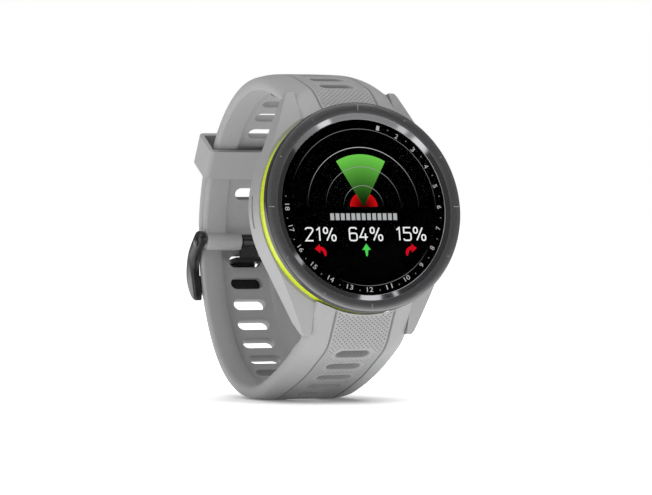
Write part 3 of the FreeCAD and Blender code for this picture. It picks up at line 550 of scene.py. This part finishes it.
def make_straps(material):
    short_slots = slot_ways(SHORT.way_of(26.9), [(11, 5.1)])
    long_slots = slot_ways(LONG.way_of(26.0), [(3, 5.08), (6, 4.93), (4, 5.6), (4, 5.2)])
    overlap = SHORT.way_of(44.0)
    end = SHORT.arc_length
    short = StrapHalf(SHORT, [(overlap, 0.0), (overlap + 7, 0.55), (overlap + 16, 0.8),
                              (end - 18, 0.9), (end - 8, 1.4), (end - 1, 1.6)],
                      short_slots, 0.0, (2.15, 3.2))
    end = LONG.arc_length
    long = StrapHalf(LONG, [(0.0, 0.45), (50.0, 0.6), (end - 24, 0.75), (end - 10, 1.3),
                            (end - 1, 1.75)], long_slots, 0.0, None)
    strap_mesh("strap_half_short", short, pit_centres(short, overlap + 1.5, SHORT.length),
               material, ["strap_short"])
    strap_mesh("strap_half_long", long, pit_centres(long, 1.0, LONG.length), material,
               ["strap_long"])


def lathe(name, profile, material, body, replaced=(), angle=35.0, count=256, extra=()):
    """A closed ring turned round the watch's axis. The profile lists (radius, z) corners.

    extra lists (profile steps, material) for steps that look different.
    """
    points = []
    for radius, height in profile:
        for step in range(count):
            turn = 2 * math.pi * step / count
            points.append((radius * math.cos(turn), radius * math.sin(turn), height))
    faces = []
    sizes = len(profile)
    for row in range(sizes):
        for step in range(count):
            one = row * count + step
            two = row * count + (step + 1) % count
            three = (row + 1) % sizes * count + (step + 1) % count
            four = (row + 1) % sizes * count + step
            faces.append((one, two, three, four))
    piece = new_piece(name, points, faces, material, body, replaced, angle)
    for number, (rows, other) in enumerate(extra, 1):
        piece.data.materials.append(other)
        for row in rows:
            for step in range(count):
                piece.data.polygons[row * count + step].material_index = number
    return piece


def across_lathe(name, centre, profile, material, body, replaced=(), count=64):
    """A closed ring turned round an axis across the strap. The profile lists (X, radius)."""
    points = []
    for across, radius in profile:
        for step in range(count):
            turn = 360 * step / count
            points.append(place(across, centre + radius * heading(turn)))
    faces = []
    for row in range(len(profile) - 1):
        for step in range(count):
            faces.append((row * count + step, row * count + (step + 1) % count,
                          (row + 1) * count + (step + 1) % count, (row + 1) * count + step))
    faces.append(tuple(range(count)))
    faces.append(tuple((len(profile) - 1) * count + step for step in range(count)))
    return new_piece(name, points, faces, material, body, replaced, 40)


# ---------------------------------------------------------------- knuckle

def make_knuckles(material):
    """The two rolls of the short half that hold the buckle's pin."""
    centre = polar(PIN_REACH, PIN_ANGLE)
    for side in (-1, 1):
        profile = [(side * 2.2, 1.45), (side * 2.4, 1.75)]
        profile += [(side * 9.7, 1.75), (side * 10.0, 1.5)]
        across_lathe("strap_knuckle_" + ("left" if side < 0 else "right"), centre, profile,
                     material, "watch")


# ---------------------------------------------------------------- buckle

def closed_curve(stops, steps=8):
    """A smooth closed curve through side view places."""
    count = len(stops)
    curve = []
    for spot in range(count):
        before, here, after, next_one = (stops[(spot + k) % count] for k in (-1, 0, 1, 2))
        for step in range(steps):
            share = step / steps
            curve.append(0.5 * (2 * here + (after - before) * share
                                + (2 * before - 5 * here + 4 * after - next_one) * share ** 2
                                + (3 * here - before - 3 * after + next_one) * share ** 3))
    return curve


def shrunk(curve, inset):
    """A closed clockwise curve moved towards its inside."""
    moved = []
    for spot in range(len(curve)):
        along = (curve[(spot + 1) % len(curve)] - curve[spot - 1]).normalized()
        moved.append(curve[spot] + Vector((along[1], -along[0])) * inset)
    return moved


def loft(name, sections, material, body, replaced=(), angle=40.0):
    """A closed solid through rings of side view places. sections lists (X, ring)."""
    points = [place(across, spot) for across, ring in sections for spot in ring]
    count = len(sections[0][1])
    faces = []
    for row in range(len(sections) - 1):
        for step in range(count):
            after = (step + 1) % count
            faces.append((row * count + step, row * count + after,
                          (row + 1) * count + after, (row + 1) * count + step))
    faces.append(tuple(range(count)))
    faces.append(tuple((len(sections) - 1) * count + step for step in range(count)))
    return new_piece(name, points, faces, material, body, replaced, angle)


def make_buckle(material):
    """Two rounded arms from the pin, with its heads, to the bar behind the strap."""
    pin = polar(PIN_REACH, PIN_ANGLE)
    stops = [pin + Vector((-1.9, 0.2)), pin + Vector((-0.4, 2.1)), polar(33.8, 9.0),
             polar(36.6, 4.2), polar(38.1, -1.8), polar(37.9, -6.2), polar(36.6, -10.4),
             polar(34.9, -12.3), polar(34.2, -9.5), polar(34.2, -3.0), polar(33.6, 1.5),
             polar(32.0, 4.9)]
    curve = closed_curve(stops)
    layers = [(10.45, 0.35), (10.55, 0.1), (10.75, 0.0), (11.75, 0.0), (12.05, 0.15),
              (12.2, 0.5)]
    for side, name in ((-1, "left"), (1, "right")):
        sections = [(side * across, shrunk(curve, inset)) for across, inset in layers]
        loft("buckle_arm_" + name, sections, material, "buckle", ["buckle_frame"], 50.0)
        across_lathe("buckle_pin_head_" + name, pin,
                     [(side * 12.1, 1.1), (side * 12.4, 1.1), (side * 12.5, 0.95)], material,
                     "buckle")
    sections = []
    for across, outer in ((-10.7, 38.1), (-3.7, 38.1), (-3.5, 36.75), (3.5, 36.75),
                          (3.7, 38.1), (10.7, 38.1)):
        corners = [(36.1, -3.2), (36.25, -3.0), (outer - 0.2, -3.0), (outer, -3.3),
                   (outer, -8.7), (outer - 0.2, -9.0), (36.25, -9.0), (36.1, -8.8)]
        sections.append((across, [polar(*corner) for corner in corners]))
    loft("buckle_bar", sections, material, "buckle", (), 50.0)


# ---------------------------------------------------------------- display

PRINT_DEPTH = -0.58
INK_DEPTH = -0.54
NUMBER_RING, TICK_RING, RIM_RING = 16.45, 16.75, 15.7


def ink_material():
    """Lit pixels and printed marks, all shown by emission: the colour is stored on the mesh's
    points. On the printed marks the glow is a painted glow.
    """
    material = new_material("display_ink", (0.0, 0.0, 0.0), 0.5, Emission_Strength=1.0,
                            Specular_IOR_Level=0.0)
    colour = add_node(material, "ShaderNodeAttribute", attribute_name="ink")
    link(material, colour.outputs["Color"], shader_of(material).inputs["Emission Color"])
    return material


def ink_piece(name, points, faces, colours, material, height=INK_DEPTH, thick=0.02):
    """A thin flat mark over the dial. Points are (X, Y), with a colour for each."""
    count = len(points)
    solid = [(x, y, height) for x, y in points] + [(x, y, height - thick) for x, y in points]
    all_faces = list(faces) + [tuple(count + corner for corner in reversed(face))
                               for face in faces]
    sides = {}
    for face in faces:
        for one, two in zip(face, face[1:] + face[:1]):
            sides[(one, two)] = True
    for one, two in sides:
        if (two, one) not in sides:
            all_faces.append((two, one, count + one, count + two))
    piece = new_piece(name, solid, all_faces, material, "watch")
    attribute = piece.data.attributes.new("ink", "FLOAT_COLOR", "POINT")
    flat = []
    for colour in colours + colours:
        flat.extend((*colour, 1.0))
    attribute.data.foreach_set("color", flat)
    return piece


def clock(radius, angle):
    """A dial place from its radius and its angle in degrees, clockwise from 12."""
    turn = math.radians(angle)
    return radius * math.sin(turn), radius * math.cos(turn)


def arc_mark(name, radius, width, begin, finish, colour, material, fade):
    """A thin arc line that fades at both ends, over an angle in degrees."""
    count = max(int(abs(finish - begin) / 1.5), 8)
    points = []
    colours = []
    faces = []
    for step in range(count + 1):
        angle = begin + (finish - begin) * step / count
        points.append(clock(radius - width / 2, angle))
        points.append(clock(radius + width / 2, angle))
        glow = smooth(min(angle - begin, finish - angle), -2.0, fade) if fade else 1.0
        colours += [tuple(channel * glow for channel in colour)] * 2
        if step:
            base = 2 * step
            faces.append((base - 2, base - 1, base + 1, base))
    return ink_piece(name, points, faces, colours, material)


def wedge_mark(name, radius, half_angle, near, far, material, height, start=0.0):
    """A pie wedge about 12 o'clock whose colour runs from near to far."""
    rings = 8
    count = 24
    points = []
    colours = []
    faces = []
    for ring in range(rings + 1):
        share = ring / rings
        reach = start + (radius - start) * share
        colour = tuple(a + (b - a) * share ** 1.7 for a, b in zip(near, far))
        for step in range(count + 1):
            angle = -half_angle + 2 * half_angle * step / count
            points.append(clock(max(reach, 0.02), angle))
            colours.append(colour)
            if ring and step:
                here = ring * (count + 1) + step
                faces.append((here - count - 2, here - 1, here, here - count - 1))
    return ink_piece(name, points, faces, colours, material, height)


def text_shape(text, height, width):
    """A text's flat mesh, centred and fitted to a size: its (X, Y) points and faces."""
    data = bpy.data.curves.new("letters", "FONT")
    data.body = text
    data.resolution_u = 3
    letters = bpy.data.objects.new("letters", data)
    bpy.context.scene.collection.objects.link(letters)
    bpy.context.view_layer.update()
    mesh = bpy.data.meshes.new_from_object(letters)
    spots = [(vertex.co.x, vertex.co.y) for vertex in mesh.vertices]
    faces = [tuple(polygon.vertices) for polygon in mesh.polygons]
    bpy.data.objects.remove(letters)
    bpy.data.meshes.remove(mesh)
    low_x, high_x = min(x for x, _ in spots), max(x for x, _ in spots)
    low_y, high_y = min(y for _, y in spots), max(y for _, y in spots)
    tall = height / (high_y - low_y)
    wide = width / (high_x - low_x)
    return [((x - (low_x + high_x) / 2) * wide, (y - (low_y + high_y) / 2) * tall)
            for x, y in spots], faces


def text_mark(name, text, height, width, spot, turn, colour, material):
    """Flat letters at a dial place, turned clockwise by an angle in degrees."""
    points, faces = text_shape(text, height, width)
    cosine, sine = math.cos(math.radians(-turn)), math.sin(math.radians(-turn))
    moved = [(spot[0] + x * cosine - y * sine, spot[1] + x * sine + y * cosine)
             for x, y in points]
    return ink_piece(name, moved, faces, [colour] * len(moved), material)


def outline_mark(name, corners, colour, material):
    """A flat filled outline over the dial."""
    return ink_piece(name, corners, [tuple(range(len(corners)))], [colour] * len(corners),
                     material)


def corner_arc(centre, radius, begin, finish):
    """Places along an arc of a glyph, from one angle to another, in degrees."""
    count = max(int(abs(finish - begin) / 18), 3)
    turns = [math.radians(begin + (finish - begin) * k / count) for k in range(count + 1)]
    return [(centre[0] + radius * math.cos(turn), centre[1] + radius * math.sin(turn))
            for turn in turns]


def glyph_lines(letter):
    """A glyph's strokes in a cell one unit tall, as lists of places, and its width."""
    turn = 0.17
    wide = 0.62
    right = wide - turn
    top = 1 - turn
    if letter == "1":
        return [[(0.06, 0.82), (0.3, 1.0), (0.3, 0.0)]], 0.4
    if letter == "2":
        bowl = corner_arc((turn, top), turn, 165, 90) + corner_arc((right, top), turn, 90, -35)
        return [bowl + [(0.0, 0.0), (wide, 0.0)]], wide
    if letter == "4":
        return [[(0.4, 1.0), (0.0, 0.26), (0.66, 0.26)], [(0.47, 0.55), (0.47, 0.0)]], 0.66
    if letter == "5":
        bowl = corner_arc((right, 0.6 - turn), turn, 90, 0)
        bowl += corner_arc((right, turn), turn, 0, -90)
        bowl += corner_arc((turn, turn), turn, -90, -170)
        return [[(wide - 0.02, 1.0), (0.03, 1.0), (0.03, 0.6)] + bowl], wide
    if letter == "6":
        bowl = corner_arc((turn, turn), turn, 180, 270) + corner_arc((right, turn), turn, -90, 0)
        bowl += corner_arc((right, 0.57 - turn), turn, 0, 90)
        bowl += corner_arc((turn, 0.57 - turn), turn, 90, 180)
        arch = corner_arc((right, top), turn, 15, 90) + corner_arc((turn, top), turn, 90, 180)
        return [arch + [(0.0, 0.57 - turn)], bowl + [(0.0, turn)]], wide
    rings = []
    for middle in ((0.16, 0.79), (0.84, 0.21)):
        small = 0.16
        ring = corner_arc((middle[0], middle[1] + 0.06), small, 0, 180)
        ring += corner_arc((middle[0], middle[1] - 0.06), small, 180, 360)
        rings.append(ring + ring[:1])
    return rings + [[(0.24, 0.0), (0.76, 1.0)]], 1.0


def stroke_strip(line, wide):
    """The left and right sides of a line of even width, mitred at its corners."""
    sides = []
    closed = line[0] == line[-1]
    for spot in range(len(line)):
        here = Vector(line[spot])
        before = line[spot - 1] if spot else (line[-2] if closed else None)
        after = line[spot + 1] if spot < len(line) - 1 else (line[1] if closed else None)
        ways = []
        if before:
            ways.append((here - Vector(before)).normalized())
        if after:
            ways.append((Vector(after) - here).normalized())
        along = sum(ways, Vector((0, 0))).normalized()
        across = Vector((-along[1], along[0]))
        reach = wide / 2 / max(across.dot(Vector((-ways[-1][1], ways[-1][0]))), 0.5)
        sides += [here + across * reach, here - across * reach]
    return sides


def stroke_text(name, text, spot, height, colour, material):
    """Text drawn with strokes of even width, centred on a dial place."""
    cells = [glyph_lines(letter) for letter in text]
    gap = 0.25
    total = sum(width for _, width in cells) + gap * (len(cells) - 1)
    left = -total / 2
    points = []
    faces = []
    for lines, width in cells:
        for line in lines:
            moved = [((left + x) * height + spot[0], (y - 0.5) * height + spot[1])
                     for x, y in line]
            base = len(points)
            points += [tuple(side) for side in stroke_strip(moved, 0.112 * height)]
            faces += [(base + 2 * k, base + 2 * k + 1, base + 2 * k + 3, base + 2 * k + 2)
                      for k in range(len(moved) - 1)]
        left += width + gap
    ink_piece(name, points, faces, [colour] * len(points), material)


def curved_arrow(centre, side):
    """A bent arrow's outline: its head points to one side, and its tail comes up from below."""
    head = [(-1.35, 0.35), (-0.2, 1.25), (-0.2, 0.75)]
    outer = [(-0.2 + 1.35 * math.sin(math.radians(a)), -0.6 + 1.35 * math.cos(math.radians(a)))
             for a in range(10, 111, 20)]
    tail = [(0.75, -1.2)]
    inner = [(-0.2 + 0.75 * math.sin(math.radians(a)), -0.75 + 0.75 * math.cos(math.radians(a)))
             for a in range(90, -1, -18)]
    points = head + outer + tail + inner + [(-0.2, -0.55)]
    return [(centre[0] + side * x, centre[1] + y) for x, y in points]


def up_arrow(centre):
    points = [(0, 1.2), (0.95, -0.05), (0.38, -0.05), (0.16, -1.3), (-0.16, -1.3),
              (-0.38, -0.05), (-0.95, -0.05)]
    return [(centre[0] + x, centre[1] + y) for x, y in points]


def make_dial():
    """The lit display and the printed ring of hole numbers, under the glass. The printed numbers
    and ticks glow with painted light.
    """
    ink = ink_material()
    black = speckled("dial_print", (0.0012, 0.0012, 0.0013), 0.2, 0.5, 2000.0, 0.000002)
    shader_of(black).inputs["Specular IOR Level"].default_value = 0.0
    white = (0.86, 0.87, 0.88)
    gray = (0.42, 0.43, 0.44)
    lathe("dial_base", [(0.02, PRINT_DEPTH), (17.5, PRINT_DEPTH), (17.5, -1.58), (0.02, -1.58)],
          black, "watch")
    # The hole numbers and ticks are print but glow like the lit pixels: a painted glow.
    for hole in range(1, 19):
        turn = 15.0 * hole
        spot = clock(NUMBER_RING, turn)
        upright = turn if hole < 7 else turn + 180
        text_mark("hole_number_%d" % hole, str(hole), 0.95, 0.66 * len(str(hole)), spot,
                  upright, gray, ink)
        arc_mark("hole_tick_%d" % hole, TICK_RING, 0.28, turn + 7.2, turn + 7.8, (0.2, 0.2, 0.2),
                 ink, 0)
    dim = (0.2, 0.2, 0.2)
    arc_mark("upper_rim_arc", RIM_RING, 0.09, -70.0, 95.0, dim, ink, 40.0)
    arc_mark("lower_rim_arc", RIM_RING, 0.09, 120.0, 205.0, dim, ink, 30.0)
    for number, (radius, glow) in enumerate(((12.0, 0.55), (8.1, 0.3), (4.3, 0.3))):
        arc_mark("range_arc_%d" % number, radius, 0.11, -90.0, 90.0, (glow, glow, glow), ink,
                 75.0)
    wedge_mark("fairway_wedge", 10.6, 30.0, (0.002, 0.015, 0.002), (0.15, 0.58, 0.07), ink,
               INK_DEPTH - 0.005, 0.3)
    wedge_mark("miss_wedge", 3.0, 88.0, (0.04, 0.001, 0.001), (0.62, 0.004, 0.006), ink,
               INK_DEPTH - 0.012)
    for start, count in ((-7.4, 5), (-1.75, 8)):
        for letter in range(count):
            left = start + 1.14 * letter
            corners = [(left, -2.6), (left + 0.8, -2.6), (left + 0.8, -1.25), (left, -1.25)]
            outline_mark("heading_block_%d_%d" % (count, letter), corners, gray, ink)
    shares = zip(("21%", "64%", "15%"), (-9.75, 0.0, 9.75))
    for number, (text, across) in enumerate(shares):
        stroke_text("share_%d" % number, text, (across, -5.4), 2.55, white, ink)
    red = (0.62, 0.004, 0.012)
    outline_mark("left_arrow", curved_arrow((-9.9, -8.6), 1), red, ink)
    outline_mark("right_arrow", curved_arrow((9.5, -8.6), -1), red, ink)
    outline_mark("up_arrow", up_arrow((-0.1, -8.5)), (0.07, 0.62, 0.09), ink)


def make_lens():
    """The clear layer of the cover glass, over the print and the bonded display."""
    glass = new_material("lens_glass", (1.0, 1.0, 1.0), 0.0, Transmission_Weight=1.0, IOR=1.1)
    texture = noise(glass, 400.0)
    shade_between(glass, texture.outputs["Fac"], (0.97, 0.98, 0.98), (1.0, 1.0, 1.0))
    lathe("lens_glass", [(0.02, -0.4), (17.45, -0.4), (17.55, -0.46), (17.55, -0.5),
                         (0.02, -0.5)], glass, "watch", ["lens"], 20.0)


# ---------------------------------------------------------------- bezel

def make_bezel():
    """Satin tick ring with a polished bevel down to the glass, a near-black side wall as painted
    shade, and its tick marks.
    """
    satin = speckled("bezel_satin", (0.2, 0.2, 0.205), 0.08, 0.3, 6000.0, 0.000003,
                     Metallic=0.85)
    polished = new_material("bezel_polished", (0.12, 0.12, 0.125), 0.1, Metallic=0.95)
    texture = noise(polished, 300.0)
    rough_between(polished, texture.outputs["Fac"], 0.04, 0.1)
    profile = [(17.6, -0.42), (17.68, -0.34), (18.68, -0.03), (18.78, 0.0), (20.55, 0.0),
               (20.85, -0.12), (21.0, -0.4), (21.0, -1.5), (20.9, -1.6), (20.2, -1.8),
               (20.2, -2.4), (19.5, -2.4), (19.5, -5.6), (18.7, -5.6), (18.7, -2.4),
               (16.6, -2.4), (16.6, -1.9), (17.6, -1.9)]
    # The side wall gets a near-black, non-metal copy of the bezel: painted shade.
    side = speckled("bezel_side_painted_shade", (0.012, 0.012, 0.013), 0.1, 0.22, 5000.0, 0.000002)
    lathe("bezel_ring", profile, satin, "watch", ["bezel"], 25.0, 320,
          [((1,), polished), ((5, 6, 7, 8), side)])
    marks = speckled("tick_paint", (0.22, 0.22, 0.22), 0.05, 0.5)
    for hour in range(12):
        long_tick = hour % 3 == 0
        middle, length = (20.0, 1.25) if long_tick else (20.0, 0.45)
        wide = 0.16
        corners = []
        for radius in (middle - length / 2, middle + length / 2):
            for side in (-1, 1):
                x, y = clock(radius, 30.0 * hour)
                out = clock(1.0, 30.0 * hour + 90)
                corners.append((x + side * wide / 2 * out[0], y + side * wide / 2 * out[1]))
        order = [corners[0], corners[1], corners[3], corners[2]]
        points = [(x, y, 0.015) for x, y in order] + [(x, y, -0.05) for x, y in order]
        faces = [(0, 1, 2, 3), (7, 6, 5, 4)]
        faces += [(k, (k + 1) % 4, (k + 1) % 4 + 4, k + 4) for k in range(4)]
        new_piece("bezel_tick_%d" % hour, points, faces, marks, "watch")


# ---------------------------------------------------------------- carried-over nodes

NODE_LOOKS = {
    "accent_lacquer": ((0.52, 0.62, 0.006), 0.04, 0.28, 4000.0, 0.000002),
    "case_polymer": ((0.285, 0.285, 0.29), 0.03, 0.42, 3000.0, 0.000012),
    "cover_polymer": ((0.035, 0.035, 0.037), 0.2, 0.45, 3000.0, 0.000015),
    "buckle_black": ((0.012, 0.012, 0.013), 0.3, 0.3, 3000.0, 0.000006),
    "button_metal": ((0.16, 0.16, 0.165), 0.1, 0.35, 5000.0, 0.000006),
    "dark_steel": ((0.12, 0.12, 0.12), 0.1, 0.35, 5000.0, 0.000006),
    "bar_steel": ((0.3, 0.3, 0.3), 0.08, 0.3, 5000.0, 0.000004),
    "seal_rubber": ((0.02, 0.02, 0.02), 0.2, 0.7, 3000.0, 0.00001),
    "display": ((0.003, 0.003, 0.003), 0.3, 0.3, 3000.0, 0.000004),
    "copper_strip": ((0.55, 0.25, 0.08), 0.15, 0.35, 3000.0, 0.000006),
    "inner_plastic": ((0.03, 0.03, 0.035), 0.2, 0.5, 3000.0, 0.00001),
    "circuit_board": ((0.01, 0.09, 0.03), 0.3, 0.45, 1500.0, 0.00001),
    "shield_steel": ((0.45, 0.45, 0.46), 0.08, 0.3, 4000.0, 0.000004),
    "battery_foil": ((0.3, 0.31, 0.32), 0.1, 0.4, 2000.0, 0.00002),
    "sensor_glass": ((0.006, 0.006, 0.008), 0.3, 0.12, 3000.0, 0.000001),
    "contact_gold": ((0.7, 0.45, 0.12), 0.08, 0.25, 3000.0, 0.000003),
}
METALS = ("button_metal", "dark_steel", "bar_steel", "shield_steel", "contact_gold",
          "copper_strip")
ROUNDED = {"case_body": 0.3, "strap_keeper": 0.35, "buckle_frame": 0.3, "buckle_tongue": 0.15,
           "button_upper": 0.3, "button_middle": 0.3, "button_lower": 0.3, "case_back": 0.2}


def dress_nodes(silicone):
    """Give every shown CAD node a material of its slot, and round the sharp ones."""
    slots = {item["node"]: item["material_slot"] for item in frame["record"]["subparts"]}
    looks = {name: speckled(name, *values) for name, values in NODE_LOOKS.items()}
    for name in METALS:
        shader_of(looks[name]).inputs["Metallic"].default_value = 1.0
    looks["strap_silicone"] = silicone
    make_buckle(looks["buckle_black"])
    for name, thing in frame["nodes"].items():
        look_of = looks.get(slots[name])
        if look_of:
            for place_of in thing.material_slots:
                place_of.material = look_of
        if name in ROUNDED:
            bevel = thing.modifiers.new("rounding", "BEVEL")
            bevel.width = ROUNDED[name] * MM
            bevel.segments = 3
            bevel.limit_method = "ANGLE"
            bevel.angle_limit = math.radians(35)


# ---------------------------------------------------------------- camera, floor, light

def look(thing, place, target):
    thing.location = place
    thing.rotation_mode = "QUATERNION"
    thing.rotation_quaternion = (Vector(target) - Vector(place)).to_track_quat("-Z", "Y")


def make_camera():
    """Level with the display's centre, 0.7 m away and 24.56 degrees to its left."""
    reach = 0.7
    data = bpy.data.cameras.new("camera")
    data.sensor_width = 36
    data.lens = 196.1
    camera = bpy.data.objects.new("camera", data)
    bpy.context.scene.collection.objects.link(camera)
    bpy.context.scene.camera = camera
    side = math.radians(-24.56)
    away = Vector((math.sin(side), -math.cos(side), 0))
    right = Vector((math.cos(side), math.sin(side), 0))
    aim = FACE - right * 7.70 * MM - Vector((0, 0, 8.06 * MM))
    look(camera, FACE + away * reach, aim)


def flat_square(name, half):
    """A flat square about its own centre, half as wide as its side, not on the part."""
    mesh = bpy.data.meshes.new(name)
    mesh.from_pydata([(-half, -half, 0), (half, -half, 0), (half, half, 0), (-half, half, 0)],
                     [], [(0, 1, 2, 3)])
    square = bpy.data.objects.new(name, mesh)
    bpy.context.scene.collection.objects.link(square)
    return square


def make_floor():
    """Paper with a painted glow that grows away from the watch, and a painted shadow round the
    foot where the glow is low, over the real contact shadow.
    """
    floor = flat_square("floor", 6.0)
    material = new_material("floor_paper", (0.9, 0.9, 0.9), 0.95, Specular_IOR_Level=0.0,
                            Emission_Color=(1, 1, 1, 1))
    spot = add_node(material, "ShaderNodeTexCoord")
    reach = add_node(material, "ShaderNodeVectorMath", operation="LENGTH")
    # Emission is 0.12 within 12 mm of the centre under the watch and 1.0 from 36 mm out: painted
    # shadow near the foot, painted glow beyond.
    glow = add_node(material, "ShaderNodeMapRange", From_Min=0.012, From_Max=0.036,
                    To_Min=0.12, To_Max=1.0)
    link(material, spot.outputs["Object"], reach.inputs[0])
    link(material, reach.outputs["Value"], glow.inputs["Value"])
    link(material, glow.outputs["Result"], shader_of(material).inputs["Emission Strength"])
    floor.data.materials.append(material)


def soft_light(name, place, target, width, height, power, glossy=True):
    """A rectangular lamp that faces a target. Sizes are in metres, the power in watts."""
    data = bpy.data.lights.new(name, "AREA")
    data.shape = "RECTANGLE"
    data.size = width
    data.size_y = height
    data.energy = power
    lamp = bpy.data.objects.new(name, data)
    bpy.context.scene.collection.objects.link(lamp)
    lamp.visible_glossy = glossy
    look(lamp, place, target)
    return lamp


def spot_round(azimuth, elevation, reach):
    """A place round the display, by azimuth from straight ahead and elevation, in degrees."""
    side = math.radians(azimuth)
    up = math.radians(elevation)
    return FACE + Vector((math.sin(side) * math.cos(up), -math.cos(side) * math.cos(up),
                          math.sin(up))) * reach


def make_flag():
    """A black card where the flat glass mirrors the room. Reflections and refractions see it."""
    flag = flat_square("flag", 0.16)
    look(flag, spot_round(24.56, 20.2, 0.5), FACE)
    flag.visible_camera = False
    flag.visible_diffuse = False
    flag.visible_shadow = False
    flag.data.materials.append(new_material("flag_black", (0.0, 0.0, 0.0), 1.0,
                                            Specular_IOR_Level=0.0))


def make_world(seen, cast):
    """A white room: one strength as the camera sees it, another as it lights the watch."""
    world = bpy.data.worlds.new("studio")
    bpy.context.scene.world = world
    world.use_nodes = True
    nodes = world.node_tree.nodes
    links = world.node_tree.links
    backdrop = nodes["Background"]
    backdrop.inputs["Color"].default_value = (1, 1, 1, 1)
    backdrop.inputs["Strength"].default_value = seen
    room = nodes.new("ShaderNodeBackground")
    room.inputs["Color"].default_value = (1, 1, 1, 1)
    room.inputs["Strength"].default_value = cast
    rays = nodes.new("ShaderNodeLightPath")
    mix = nodes.new("ShaderNodeMixShader")
    links.new(rays.outputs["Is Camera Ray"], mix.inputs["Fac"])
    links.new(room.outputs["Background"], mix.inputs[1])
    links.new(backdrop.outputs["Background"], mix.inputs[2])
    links.new(mix.outputs["Shader"], nodes["World Output"].inputs["Surface"])


# Bright cards mirrored in the bevel: clock angle, distance, width and strength.
GLINTS = [(-24, 0.2, 0.014, 4), (31, 0.2, 0.01, 3), (46, 0.2, 0.016, 4.5),
          (180, 0.4, 0.045, 4.5), (163, 0.4, 0.01, 5), (-125, 0.3, 0.012, 3)]
BEVEL_SLOPE = 17.2
BEVEL_MIDDLE = 18.2


def glint_card(name, clock_angle, reach, wide, strength):
    """A small bright card that the main camera sees in the bezel's inner bevel."""
    side = math.radians(clock_angle)
    lean = math.radians(BEVEL_SLOPE)
    out = Vector((math.sin(side), math.cos(side), 0))
    local = Vector((0, 0, math.cos(lean))) - out * math.sin(lean)
    normal = (WATCH.to_3x3() @ local).normalized()
    spot = WATCH @ (out * BEVEL_MIDDLE)
    toward = (bpy.context.scene.camera.location - spot).normalized()
    mirrored = 2 * normal.dot(toward) * normal - toward
    card = soft_light(name, spot + mirrored * reach, spot, wide, wide,
                      strength * math.pi * wide ** 2)
    card.visible_diffuse = False
    card.visible_camera = False
    card.visible_transmission = False


def make_light():
    make_world(1.0, 0.2)
    bpy.context.scene.view_settings.view_transform = "Standard"
    soft_light("top", (0.05, -0.1, 0.75), FACE, 0.6, 0.6, 3.0)
    soft_light("left", spot_round(-75, 30, 0.6), FACE, 0.35, 0.5, 1.1)
    soft_light("front", spot_round(-10, 40, 0.7), FACE, 0.3, 0.3, 0.8, False)
    for number, (angle, reach, wide, strength) in enumerate(GLINTS):
        glint_card("glint_%d" % number, angle, reach, wide, strength)
    make_flag()


silicone = strap_material()
make_straps(silicone)
make_knuckles(silicone)
make_dial()
make_lens()
make_bezel()
dress_nodes(silicone)
make_camera()
make_floor()
make_light()
